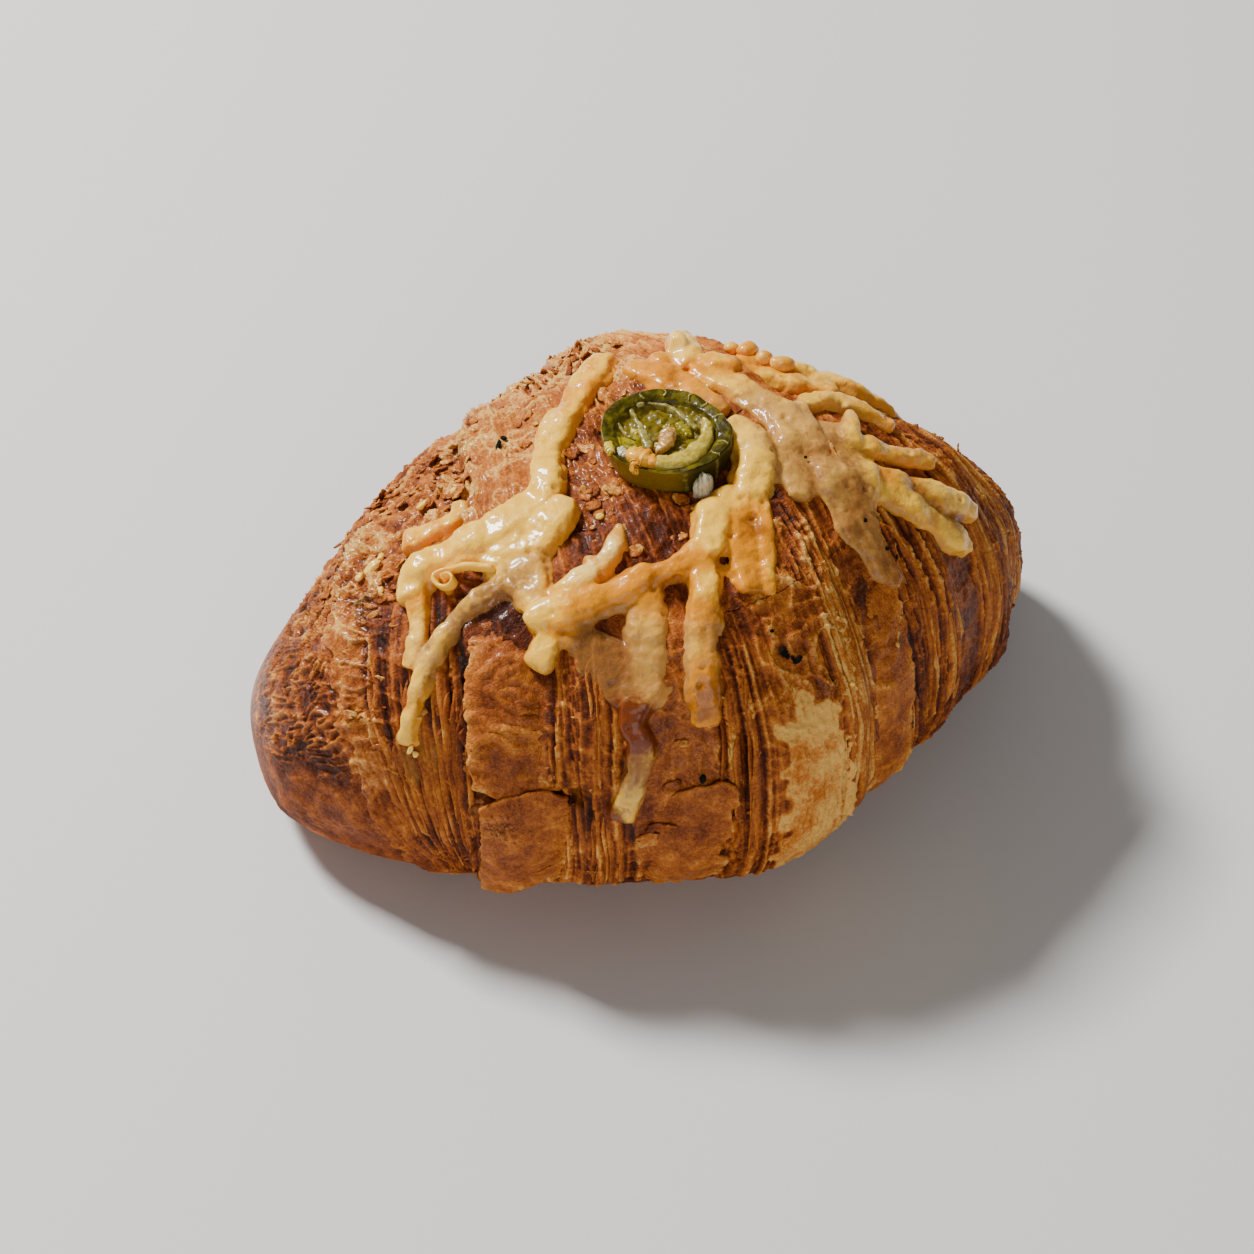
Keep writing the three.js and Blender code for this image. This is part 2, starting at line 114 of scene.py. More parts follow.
class Grain:
    """Smooth random numbers in space, the same at every run."""

    gain = 1.6
    scatter = 0.45

    def __init__(self, seed: int) -> None:
        """Draws the slopes that the numbers are made from.

        Args:
            seed: Which random numbers to take.
        """
        random = np.random.default_rng(seed)
        self.order = np.tile(random.permutation(256), 3)
        slopes = random.normal(size=(256, 3))
        self.slopes = slopes / np.linalg.norm(slopes, axis=1, keepdims=True)
        self.turned = np.array(Matrix.Rotation(1.1, 3, Vector((0.5, 0.8, 0.6))))

    def at(self, places: Array, size: float | Sequence[float] = 1.0) -> Array:
        """The number at each place, about -1 to 1.

        Args:
            places: N by 3 places.
            size: The size of a feature, the same all ways or one for each axis.

        Returns:
            One number for each place.
        """
        p = np.asarray(places, float) / size @ self.turned
        cell = np.floor(p).astype(int)
        f = p - cell
        cell &= 255
        w = f**3 * (f * (f * 6 - 15) + 10)
        total = np.zeros(len(p))
        for corner in range(8):
            step = np.array([corner & 1, corner >> 1 & 1, corner >> 2 & 1])
            k = cell + step
            slope = self.slopes[self.order[self.order[self.order[k[:, 0]] + k[:, 1]] + k[:, 2]]]
            weight = np.prod(np.where(step, w, 1 - w), axis=1)
            total += weight * np.sum(slope * (f - step), axis=1)
        return total * self.gain

    def cells(self, places: Array, size: float) -> Array:
        """How far each place is from the nearest of many scattered points, in sizes of a cell.

        Args:
            places: N by 3 places.
            size: How far apart the points are.

        Returns:
            One number for each place.
        """
        p = np.asarray(places, float) / size
        cell = np.floor(p).astype(int)
        best = np.full(len(p), 9.0)
        for n in range(27):
            k = cell + np.array([n % 3 - 1, n // 3 % 3 - 1, n // 9 - 1])
            h = self.order[self.order[self.order[k[:, 0] & 255] + (k[:, 1] & 255)] + (k[:, 2] & 255)]
            point = k + 0.5 + self.scatter * self.slopes[h]
            best = np.minimum(best, np.sum((p - point) ** 2, axis=1))
        return np.sqrt(best)

    def ridges(self, places: Array, size: float | Sequence[float], width: float = 0.16) -> Array:
        """Thin lines that wander like the creases of crumpled film, 1 on a line and 0 away from all."""
        return np.exp(-np.abs(self.at(places, size) - 0.12) / width)


@dataclass(frozen=True)
class Band:
    """A stretch of crust, by share and by angle, and how strongly it has what it is listed for."""

    left: float
    right: float
    top: float
    foot: float
    amount: float = 1.0
    soft: float = 0.012
    soft_angle: float = 6.0
    spread: float = 0.0

    def cover(self, share: Array, angle: Array) -> Array:
        """How much each place lies inside, 0 to amount. Its right edge may spread as it goes down.

        Args:
            share: Shares along the roll.
            angle: Angles in degrees.

        Returns:
            One number for each place.
        """
        right = self.right + self.spread * (angle - self.top)
        across = ease(share, self.left - self.soft, self.left) * (1 - ease(share, right, right + self.soft))
        down = ease(angle, self.top - self.soft_angle, self.top)
        down = down * (1 - ease(angle, self.foot, self.foot + self.soft_angle))
        return self.amount * across * down


def covered(bands: Iterable[Band], share: Array, angle: Array) -> Array:
    """The strongest of several bands at each place."""
    return np.max([band.cover(share, angle) for band in bands], axis=0)


@dataclass(frozen=True)
class Spot:
    """A small place that looks different, by share, angle, radius in millimetres and amount."""

    share: float
    angle: float
    radius: float
    amount: float = 1.0

    @classmethod
    def rows(cls, *rows: tuple[float, ...]) -> "tuple[Spot, ...]":
        """Several of them."""
        return tuple(cls(*row) for row in rows)


@dataclass(frozen=True)
class Edge:
    """An edge of the wrapped dough: its place, how far its lip stands out and the side that it faces."""

    at: float
    rise: float
    faces: int


@dataclass(frozen=True)
class Roll:
    """The form of the croissant that its solid has."""

    axis_length: float = 156.0
    heading_left: float = -48.0
    heading_right: float = 50.0
    width_power: float = 2.35
    height_power: float = 2.2
    widest_share: float = 0.4
    base_overrun: float = 1.12
    end_round_left: float = 21.0
    end_round_right: float = 19.0
    end_power: float = 2.4
    front_widths: tuple[float, ...] = (17, 35, 45, 53, 58, 48, 42, 33, 26)
    back_widths: tuple[float, ...] = (21, 37, 46, 51, 55, 54, 46, 36, 25)
    heights: tuple[float, ...] = (28, 50, 64, 71, 75, 75, 67, 48, 31)
    edges: tuple[Edge, ...] = (
        Edge(-0.66, 2.4, -1), Edge(-0.46, 1.9, -1), Edge(-0.3, 1.2, -1), Edge(-0.09, 1.0, -1),
        Edge(0.13, 1.8, 1), Edge(0.27, 2.0, 1), Edge(0.38, 1.4, 1), Edge(0.56, 1.9, 1),
    )
    edge_sharpness: float = 0.9
    edge_fade: float = 7.0
    blister_rise: float = 0.5
    end_seam_lean: float = 0.13
    fade_angles: Pair = (112, 132)
    fade_shares: Pair = (0.02, 0.2)

    @property
    def half(self) -> float:
        """Half the length of the axis."""
        return self.axis_length / 2

    def heading(self, share: Array) -> Array:
        """The direction of the axis in radians from +X."""
        turn = self.heading_right - self.heading_left
        return np.radians(self.heading_left + turn * (np.asarray(share, float) + 1) / 2)

    def rounding(self, share: Array) -> Array:
        """How far a section is drawn in near the tips.

        Args:
            share: Shares along the roll.

        Returns:
            1 in the middle and 0 at the tips.
        """
        left = np.clip(self.half * (share + 1) / self.end_round_left, 0, 1)
        right = np.clip(self.half * (1 - share) / self.end_round_right, 0, 1)
        k = np.minimum(1 - (1 - left) ** self.end_power, 1 - (1 - right) ** self.end_power)
        return k ** (1 / self.end_power)

    def smooth(self, share: Array, angle: Array) -> Array:
        """Points of the smooth roll.

        Args:
            share: Shares along the roll.
            angle: Angles in degrees.

        Returns:
            N by 3 points.
        """
        share, angle = np.broadcast_arrays(np.asarray(share, float), np.asarray(angle, float))
        t = (share + 1) / 2
        heading, rounding = self.heading(share), self.rounding(share)
        height = through(self.heights, t)
        widest = self.widest_share * height
        sin, cos = np.sin(np.radians(angle)), np.cos(np.radians(angle))
        width = np.where(sin > 0, through(self.front_widths, t), through(self.back_widths, t)) * rounding
        above = (height - widest) * rounding
        below = widest * self.base_overrun * (0.35 + 0.65 * rounding)
        radius = self.axis_length / math.radians(self.heading_right - self.heading_left)
        out = radius + width * np.sign(sin) * np.abs(sin) ** (2 / self.width_power)
        up = widest + np.where(cos > 0, above, below) * np.sign(cos) * np.abs(cos) ** (2 / self.height_power)
        return xyz(out * np.sin(heading), -out * np.cos(heading), np.maximum(up, 0))

    def middle(self, share: Array) -> Array:
        """Points of the axis, at the widest level.

        Args:
            share: Shares along the roll.

        Returns:
            N by 3 points.
        """
        heading = self.heading(share)
        radius = self.axis_length / math.radians(self.heading_right - self.heading_left)
        height = self.widest_share * through(self.heights, (share + 1) / 2)
        return xyz(radius * np.sin(heading), -radius * np.cos(heading), height)

    def outward(self, share: Array, angle: Array) -> Array:
        """The direction away from the roll at each place.

        Args:
            share: Shares along the roll.
            angle: Angles in degrees.

        Returns:
            N by 3 directions of length one.
        """
        step = 0.004
        s = np.clip(share, -1 + 2 * step, 1 - 2 * step)
        along = self.smooth(s + step, angle) - self.smooth(s - step, angle)
        around = self.smooth(s, angle + 1) - self.smooth(s, angle - 1)
        normal = np.cross(around, along)
        return normal / np.maximum(np.linalg.norm(normal, axis=-1, keepdims=True), 1e-9)

    def lean(self, wrap: Array, angle: Array) -> Array:
        """How far a wrap line is moved along the roll at this angle: the seam of the left end leans."""
        fall = ease(-wrap, 0.42, 0.66) * ease(wrap, -1, -0.8)
        return -self.end_seam_lean * (np.cos(np.radians(angle)) - 0.5) * fall

    def lip(self, edge: Edge, wrap: Array, side: int = 0) -> Array:
        """The step of one edge: side 1 keeps to its upper layer, -1 to its lower one and 0 goes down between them.

        Args:
            edge: The edge.
            wrap: Shares along the roll before it leans.
            side: The layer to keep to.

        Returns:
            Heights in millimetres.
        """
        inside = -edge.faces * (wrap - edge.at) * self.half
        step = np.tanh(inside / self.edge_sharpness) if side == 0 else side
        return edge.rise / 2 * step * np.exp(-np.abs(inside) / self.edge_fade)

    def fade(self, share: Array, angle: Array) -> Array:
        """Where the crust has relief at all: not under the roll and not right at the tips."""
        return (1 - ease(np.abs(angle), *self.fade_angles)) * ease(1 - np.abs(share), *self.fade_shares)

    def relief(self, share: Array, angle: Array) -> Array:
        """How far the crust of the solid stands out from the smooth roll.

        Args:
            share: Shares along the roll.
            angle: Angles in degrees.

        Returns:
            Heights in millimetres.
        """
        wrap = share - self.lean(share, angle)
        height = sum(self.lip(edge, wrap) for edge in self.edges)
        return (height + self.blisters(share, angle)) * self.fade(share, angle)

    def blisters(self, share: Array, angle: Array) -> Array:
        """The slow swell of the crust."""
        return self.blister_rise * np.sin(share * 23 + angle * 0.07) * np.cos(share * 9 - angle * 0.11)


@dataclass
class Crust:
    """The roll where it stands in the row frame."""

    roll: Roll
    shift: Array

    @classmethod
    def standing(cls, roll: Roll, node: str) -> "Crust":
        """The roll moved to where its solid is.

        Args:
            roll: Its form.
            node: The solid's name in the frame.

        Returns:
            The crust.
        """
        share, angle = np.meshgrid(np.linspace(-0.999, 0.999, 400), np.arange(-180, 180, 2.0))
        lift = roll.relief(share, angle)[..., None]
        points = (roll.smooth(share, angle) + roll.outward(share, angle) * lift).reshape(-1, 3)
        low, high = (np.array(corner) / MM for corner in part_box(node))
        shift = (low + high - points.min(0) - points.max(0)) / 2
        shift[2] = 0
        return cls(roll, shift)

    def place(self, share: Array, angle: Array, lift: Array | float = 0.0) -> Array:
        """Points at a height above the solid's crust, in millimetres in the row frame.

        Args:
            share: Shares along the roll.
            angle: Angles in degrees.
            lift: The height.

        Returns:
            N by 3 points.
        """
        share, angle = np.broadcast_arrays(np.asarray(share, float), np.asarray(angle, float))
        height = self.roll.relief(share, angle) + lift
        return self.roll.smooth(share, angle) + self.roll.outward(share, angle) * height[..., None] + self.shift

    def near(self, points: Array, share: float, angle: float, radius: float) -> Array:
        """How close points lie to a place on the crust, 1 at it and fading over a radius."""
        centre = self.place(np.array([share]), np.array([angle]))[0]
        return np.exp(-np.sum((points - centre) ** 2, axis=1) / radius**2)


CHEESED = Band(-0.8, 0.7, -75, 105)


def above(crust: Crust, points: Array) -> Array:
    """How high each point lies over the smooth crust under it.

    Args:
        crust: The crust.
        points: N by 3 points in millimetres.

    Returns:
        Heights in millimetres.
    """
    net = np.meshgrid(np.linspace(CHEESED.left, CHEESED.right, 260), np.linspace(CHEESED.top, CHEESED.foot, 240))
    share, angle = (numbers.ravel() for numbers in net)
    beds, outward = crust.place(share, angle), crust.roll.outward(share, angle)
    tree = KDTree(len(beds))
    for number, bed in enumerate(beds):
        tree.insert(bed, number)
    tree.balance()
    nearest = np.array([tree.find(point)[1] for point in points])
    return np.sum((points - beds[nearest]) * outward[nearest], axis=1)


def spotted(crust: Crust, points: Array, spots: Iterable[Spot]) -> Array:
    """How much each point, in millimetres in the row frame, lies in one of several spots."""
    value = sum(spot.amount * crust.near(points, spot.share, spot.angle, spot.radius) for spot in spots)
    return np.clip(value, 0, 1.5)


def deselect() -> None:
    """Leaves no object selected."""
    bpy.ops.object.select_all(action="DESELECT")


def only(*objects: Thing) -> None:
    """Selects these objects alone, and makes the first one active.

    Args:
        objects: The objects.
    """
    deselect()
    for thing in objects:
        thing.select_set(True)
    bpy.context.view_layer.objects.active = objects[0]


def read(thing: Thing, what: str = "co") -> Array:
    """One vector for each vertex of a mesh.

    Args:
        thing: The object.
        what: "co" for its place or "normal" for its normal.

    Returns:
        N by 3 numbers.
    """
    flat = np.empty(len(thing.data.vertices) * 3)
    thing.data.vertices.foreach_get(what, flat)
    return flat.reshape(-1, 3)


def write(thing: Thing, points: Array) -> None:
    """Moves a mesh's vertices to points that are given in millimetres."""
    thing.data.vertices.foreach_set("co", (points * MM).ravel())
    thing.data.update()


def paint(thing: Thing, **numbers: Array | float) -> None:
    """Stores numbers by vertex for the finish to read.

    Args:
        thing: The object.
        numbers: One number for each vertex or one for all, by what they are called.
    """
    for name, values in numbers.items():
        flat = np.empty(len(thing.data.vertices), np.float32)
        flat[:] = values
        thing.data.attributes.new(name, "FLOAT", "POINT").data.foreach_set("value", flat)


def ball(name: str, sides: int, rings: int) -> tuple[Thing, Array, Array]:
    """A ball to be drawn out into another shape.

    Args:
        name: The object's name.
        sides: Faces around it.
        rings: Faces from pole to pole.

    Returns:
        The object, and for each vertex how far it is from the first pole, 0 to 1, and its turn in degrees,
        -180 to 180, right-handed about the way from the first pole to the last.
    """
    deselect()
    bpy.ops.mesh.primitive_uv_sphere_add(segments=sides, ring_count=rings, radius=1)
    thing = bpy.context.active_object
    thing.name = name
    co = read(thing)
    along = np.rint(np.arccos(np.clip(co[:, 2], -1, 1)) / np.pi * rings) / rings
    turn = -np.degrees(np.arctan2(co[:, 1], co[:, 0]))
    bpy.ops.object.shade_smooth()
    return thing, along, turn


def sheet(name: str, columns: int, rows: int) -> tuple[Thing, Array, Array]:
    """A flat net to be laid out into another shape.

    Args:
        name: The object's name.
        columns: Faces along it.
        rows: Faces across it.

    Returns:
        The object, and for each vertex the number of its column and how far across it is, 0 to 1.
    """
    deselect()
    bpy.ops.mesh.primitive_grid_add(x_subdivisions=columns, y_subdivisions=rows, size=2)
    thing = bpy.context.active_object
    thing.name = name
    co = read(thing)
    bpy.ops.object.shade_smooth()
    return thing, np.rint((co[:, 0] + 1) / 2 * columns).astype(int), (co[:, 1] + 1) / 2


def swarm(name: str, count: int, columns: int, rows: int) -> tuple[Thing, Array, Array, Array]:
    """Many small flat nets as one object.

    Args:
        name: The object's name.
        count: How many nets.
        columns: Faces along each.
        rows: Faces across each.

    Returns:
        The object, and for each vertex the number of its net and how far along and across the net it is.
    """
    thing, column, v = sheet(name, columns, rows)
    apply_modifier(thing, "ARRAY", count=count)
    copy = np.repeat(np.arange(count), len(column))
    return thing, copy, np.tile(column / columns, count), np.tile(v, count)


def unit(vectors: Array) -> Array:
    """Vectors of length one in the same directions."""
    return vectors / np.maximum(np.linalg.norm(vectors, axis=-1, keepdims=True), 1e-9)


def drawn(name: str, sides: int, rings: int, way: Callable, section: Callable,
          square: float = 0.72, crowding: float = 0.35) -> Thing:
    """A closed body drawn out along a curve, flat on top and blunt at both ends.

    Args:
        name: The object's name.
        sides: Faces around it.
        rings: Faces along it.
        way: Gives the points of the curve, and the directions away from its bed, at shares of its length.
        section: Gives its width, its height above the curve and its depth below it, at shares of its length.
        square: How square its section is, from 1 for an oval towards 0.
        crowding: How much closer together its rings are at the ends.

    Returns:
        The body.
    """
    thing, along, turn = ball(name, sides, rings)
    t = crowding * (1 - np.cos(np.pi * along)) / 2 + (1 - crowding) * along
    centre, up = way(t)
    ahead = way(np.minimum(t + 0.02, 1))[0] - way(np.maximum(t - 0.02, 0))[0]
    across = unit(np.cross(ahead, up))
    width, rise, sink = section(t)
    probe = way(np.linspace(0, 1, 60))[0]
    length = np.sum(np.linalg.norm(np.diff(probe, axis=0), axis=1))
    end = np.clip(np.minimum(t, 1 - t) * length / (0.5 * width), 0, 1)
    blunt = (1 - (1 - end) ** 3) ** (1 / 3)
    sin, cos = (np.sign(v) * np.abs(v) ** square for v in (np.sin(np.radians(turn)), np.cos(np.radians(turn))))
    out = across * (width / 2 * blunt * sin)[:, None] + up * (np.where(cos > 0, rise, sink) * blunt * cos)[:, None]
    write(thing, centre + out)
    return thing


def weld(thing: Thing) -> None:
    """Joins vertices that lie on each other, and turns all faces outwards.

    Args:
        thing: The object with the mesh.
    """
    only(thing)
    bpy.ops.object.mode_set(mode="EDIT")
    bpy.ops.mesh.select_all(action="SELECT")
    bpy.ops.mesh.remove_doubles(threshold=1e-6)
    bpy.ops.mesh.normals_make_consistent(inside=False)
    bpy.ops.object.mode_set(mode="OBJECT")


def apply_modifier(thing: Thing, kind: str, **settings: Any) -> None:
    """Adds one modifier and applies it.

    Args:
        thing: The object.
        kind: The modifier's type.
        settings: Its settings.
    """
    only(thing)
    modifier = thing.modifiers.new(kind.lower(), kind)
    for key, value in settings.items():
        setattr(modifier, key, value)
    bpy.ops.object.modifier_apply(modifier=modifier.name)


def joined(name: str, things: Sequence[Thing]) -> Thing:
    """Several objects as one.

    Args:
        name: What the result is called.
        things: The objects.

    Returns:
        The one object.
    """
    only(*things)
    if len(things) > 1:
        bpy.ops.object.join()
    thing = bpy.context.active_object
    thing.name = name
    return thing


def hand_over(thing: Thing, node: str, finish: Finish) -> None:
    """Gives a finished piece its finish, hangs it under the root body and hides the solid that it stands for.

    Args:
        thing: The piece.
        node: The solid that it stands for.
        finish: Its finish.
    """
    thing.data.materials.clear()
    thing.data.materials.append(finish)
    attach(thing, "root")
    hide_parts(node)
    thing.data.calc_loop_triangles()
    log.info("%s: %d triangles", thing.name, len(thing.data.loop_triangles))


class Wire:
    """An output of a shader node that can be reckoned with like a number."""

    def __init__(self, shop: "Shop", socket: bpy.types.NodeSocket) -> None:
        """Keeps the socket and the shop that makes further nodes."""
        self.shop = shop
        self.socket = socket

    def _math(self, operation: str, *values: Any) -> "Wire":
        """One Math node."""
        return self.shop.node("ShaderNodeMath", {"operation": operation}, dict(enumerate(values)))

    def __add__(self, other: Any) -> "Wire":
        """Sum."""
        return self._math("ADD", self, other)

    def __sub__(self, other: Any) -> "Wire":
        """Difference."""
        return self._math("SUBTRACT", self, other)

    def __rsub__(self, other: Any) -> "Wire":
        """Difference from a number."""
        return self._math("SUBTRACT", other, self)

    def __mul__(self, other: Any) -> "Wire":
        """Product."""
        return self._math("MULTIPLY", self, other)

    __radd__, __rmul__ = __add__, __mul__

    def within(self, low: float, high: float) -> "Wire":
        """0 at low, 1 at high and smooth between them."""
        values = {"Value": self, "From Min": low, "From Max": high}
        return self.shop.node("ShaderNodeMapRange", {"interpolation_type": "SMOOTHSTEP"}, values)


class Shop:
    """Where the nodes of one finish are made. Its relief is how high fine relief stands, in millimetres."""

    relief = 0.3

    def __init__(self, name: str) -> None:
        """Starts a material with an empty node tree but for its shader.

        Args:
            name: The material's name.
        """
        self.material = bpy.data.materials.new(name)
        self.material.use_nodes = True
        self.tree = self.material.node_tree
        self.shader = self.tree.nodes["Principled BSDF"]

    def node(self, kind: str, settings: dict[str, Any], values: dict[Any, Any], output: Any = 0) -> Wire:
        """Makes a node.

        Args:
            kind: The node's type.
            settings: Its own properties, or "stops" with the place and colour of each stop of a ramp.
            values: What its sockets hold, numbers or wires, by name or number.
            output: The socket to hand back.

        Returns:
            The wire that leaves it.
        """
        made = self.tree.nodes.new(kind)
        for key, value in settings.items():
            if key == "stops":
                self._stops(made.color_ramp, value)
            else:
                setattr(made, key, value)
        for key, value in values.items():
            self._fill(made.inputs[key], value)
        return Wire(self, made.outputs[output])

    @staticmethod
    def _stops(ramp: bpy.types.ColorRamp, stops: Sequence[tuple[float, Sequence[float]]]) -> None:
        """Sets the stops of a colour ramp.

        Args:
            ramp: The ramp.
            stops: The place and colour of each stop.
        """
        while len(ramp.elements) < len(stops):
            ramp.elements.new(1.0)
        for element, (place, colour) in zip(ramp.elements, stops):
            element.position = place
            element.color = colour

    def _fill(self, socket: bpy.types.NodeSocket, value: Any) -> None:
        """Links a wire to a socket, or sets its number.

        Args:
            socket: The socket.
            value: The wire or number.
        """
        if isinstance(value, Wire):
            self.tree.links.new(value.socket, socket)
        else:
            socket.default_value = value

    def attribute(self, name: str) -> Wire:
        """A number that the mesh stores."""
        return self.node("ShaderNodeAttribute", {"attribute_name": name}, {}, "Fac")

    def noise(self, size: float, detail: float = 3.0, rough: float = 0.55, distortion: float = 0.0) -> Wire:
        """Random patches of about this many millimetres, 0 to 1.

        Args:
            size: How large they are.
            detail: How many finer layers they have.
            rough: How strong the finer layers are.
            distortion: How much they are bent.

        Returns:
            The number.
        """
        place = self.node("ShaderNodeTexCoord", {}, {}, "Object")
        values = {"Vector": place, "Scale": 1 / (size * MM), "Detail": detail, "Roughness": rough,
                  "Distortion": distortion}
        return self.node("ShaderNodeTexNoise", {}, values)

    def lines(self, along: str, pitch: float, around: str, length: float) -> Wire:
        """Random lines, 0 to 1, in a net that the mesh stores in two numbers.

        Args:
            along: The number that changes from line to line.
            pitch: How far apart the lines are.
            around: The number that changes along a line.
            length: How far a line keeps its strength.

        Returns:
            The number.
        """
        values = {"X": self.attribute(along) * (1 / pitch), "Y": self.attribute(around) * (1 / length)}
        place = self.node("ShaderNodeCombineXYZ", {}, values)
        return self.node("ShaderNodeTexNoise", {}, {"Vector": place, "Scale": 1.0, "Detail": 2.0})

    def mix(self, share: Any, first: Any, second: Any) -> Wire:
        """A colour between two others."""
        return self.node("ShaderNodeMix", {"data_type": "RGBA"}, {"Factor": share, 6: first, 7: second}, 2)

    def ramp(self, value: Wire, stops: Sequence[tuple[float, Sequence[float]]]) -> Wire:
        """A colour that follows a number."""
        return self.node("ShaderNodeValToRGB", {"stops": stops}, {"Fac": value})

    def bump(self, height: Wire, strength: float) -> Wire:
        """Fine relief."""
        values = {"Height": height, "Distance": self.relief * MM, "Strength": strength}
        return self.node("ShaderNodeBump", {}, values)

    def finish(self, **sockets: Any) -> Finish:
        """Fills the shader's sockets, underscores standing for blanks, and hands back the material.

        Args:
            sockets: A number, colour or wire for each socket.

        Returns:
            The material.
        """
        for key, value in sockets.items():
            self._fill(self.shader.inputs[key.replace("_", " ")], value)
        return self.material


@dataclass(frozen=True)
class BakedCrust:
    """Laminated dough with an egg wash: straw where it was covered, golden, brown and black where it caught, with
    painted light and shade over its relief.
    """

    name: str = "baked_crust"
    stops: tuple[tuple[float, Colour], ...] = (
        (0.0, srgb(226, 172, 88)),
        (0.2, srgb(194, 114, 42)),
        (0.4, srgb(156, 81, 29)),
        (0.6, srgb(110, 50, 19)),
        (0.8, srgb(68, 27, 10)),
        (1.0, srgb(30, 13, 6)),
    )
    char: Colour = srgb(60, 22, 8)
    crumb_dark: Colour = srgb(126, 70, 24)
    crumb_light: Colour = srgb(184, 124, 54)
    patch_size: float = 5.0
    speck_size: float = 0.9
    fine_size: float = 0.45
    fold_size: float = 1.5
    layer_pitch: float = 0.42
    layer_run: float = 12.0
    roughness: float = 0.6
    glaze: float = 0.42

    def material(self) -> Finish:
        """The finish as a material, which reads bake, char, wash, crumb, layered, along and around from the mesh.

        Returns:
            The material.
        """
        shop = Shop(self.name)
        patches = shop.noise(self.patch_size, 4, 0.62, 0.4)
        specks = shop.noise(self.speck_size, 3, 0.6)
        lines = shop.lines("along", self.layer_pitch, "around", self.layer_run)
        layered = shop.attribute("layered")
        wash = shop.attribute("wash")
        fine = shop.noise(self.fine_size, 2, 0.6)
        fold = shop.noise(self.fold_size, 2, 0.5, 1.4) - 0.5
        crease = wash * (1 - fold * fold * 90).within(0.0, 1.0)
        bake = shop.attribute("bake") + (patches - 0.5) * 0.55 + (specks - 0.5) * 0.34 + (fine - 0.5) * 0.22
        # The layer lines and creases are painted lighter where their bump stands up and darker in their grooves:
        # painted highlight and painted shade
        bake = bake - layered * (lines - 0.5) * 0.62 - crease * 0.1
        colour = shop.ramp(bake, self.stops)
        char = (shop.attribute("char") + (specks - 0.5) * 1.3 + (fine - 0.5) * 0.8).within(0.4, 1.2)
        colour = shop.mix(char * 0.85, colour, self.char)
        crumb = shop.ramp(specks, ((0.35, self.crumb_dark), (0.65, self.crumb_light)))
        colour = shop.mix(shop.attribute("crumb"), colour, crumb)
        relief = shop.bump(specks * 0.6 + fine * 0.3 + layered * lines * 0.7 + crease * 0.7, 0.9)
        return shop.finish(Base_Color=colour, Roughness=self.roughness - wash * 0.25 + (specks - 0.5) * 0.25,
                           Specular_IOR_Level=0.1, Coat_Weight=wash * wash * self.glaze,
                           Coat_Roughness=0.11, Coat_IOR=1.38, Normal=relief)


@dataclass(frozen=True)
class MeltedCheese:
    """Melted cheese that has set: yellow, amber where it is thin, half clear, toasted or browned in places."""

    name: str = "melted_cheese"
    pale: Colour = srgb(255, 194, 56)
    cream: Colour = srgb(255, 212, 118)
    amber: Colour = srgb(214, 138, 12)
    golden: Colour = srgb(228, 142, 2)
    toasted: Colour = srgb(158, 84, 6)
    browned: Colour = srgb(112, 48, 12)
    glassy: Colour = srgb(216, 160, 88)
    film: Colour = srgb(156, 96, 46)
    patch_size: float = 6.0
    speck_size: float = 1.1
    vein_size: float = 2.4
    roughness: float = 0.3
    gloss: float = 0.6
    half_clear: bool = False
    through_clear: float = 0.24
    through_film: float = 0.26

    def material(self) -> Finish:
        """The finish as a material, which reads toast, burn, clear, cream, film and rim from the mesh.

        Returns:
            The material.
        """
        shop = Shop(self.name)
        patches = shop.noise(self.patch_size, 3, 0.6, 0.6)
        specks = shop.noise(self.speck_size, 3, 0.6)
        veins = shop.noise(self.vein_size, 3, 0.6, 1.2)
        rim = shop.attribute("rim")
        cream = (shop.attribute("cream") + (veins - 0.5) * 1.6).within(0.1, 1.0)
        colour = shop.mix(cream, self.pale, self.cream)
        amber = (rim * 1.2 + (patches - 0.5) * 1.8 + (veins - 0.5) * 1.6).within(0.15, 1.1)
        colour = shop.mix(amber * 0.85, colour, self.amber)
        toast = shop.attribute("toast") + rim * 0.3 + (patches - 0.5) * 1.4 + (specks - 0.5) * 0.6
        colour = shop.mix(toast.within(0.3, 0.9), colour, self.golden)
        colour = shop.mix(toast.within(0.95, 1.7), colour, self.toasted)
        clear = shop.attribute("clear") + rim * 0.3
        clear = (clear + (patches - 0.5) * 0.9 + (veins - 0.5) * 0.9).within(0.1, 0.9) * clear.within(0.02, 0.3)
        colour = shop.mix(clear * 0.7, colour, self.glassy)
        film = (shop.attribute("film") + (patches - 0.5) * 0.8 + (veins - 0.5) * 0.6).within(0.15, 0.95)
        film = film * shop.attribute("film").within(0.02, 0.3)
        colour = shop.mix(film * 0.75, colour, self.film)
        burn = (shop.attribute("burn") + (veins - 0.5) * 0.9 + (specks - 0.5) * 0.7).within(0.35, 1.1)
        colour = shop.mix(burn, colour, self.browned)
        relief = shop.bump(specks * 0.6 + veins * 0.8 + shop.noise(0.5, 2) * 0.4, 0.7)
        shown = (clear * self.through_clear + film * self.through_film) * (1.0 - burn)
        seen = {"Alpha": 1.0 - shown} if self.half_clear else {}
        return shop.finish(Base_Color=colour, Roughness=self.roughness + (specks - 0.5) * 0.3,
                           Specular_IOR_Level=0.15, Coat_Weight=self.gloss, Coat_Roughness=0.06,
                           Coat_IOR=1.4, Subsurface_Weight=0.15, Subsurface_Radius=(1.0, 0.6, 0.2),
                           Subsurface_Scale=0.002, Normal=relief, **seen)


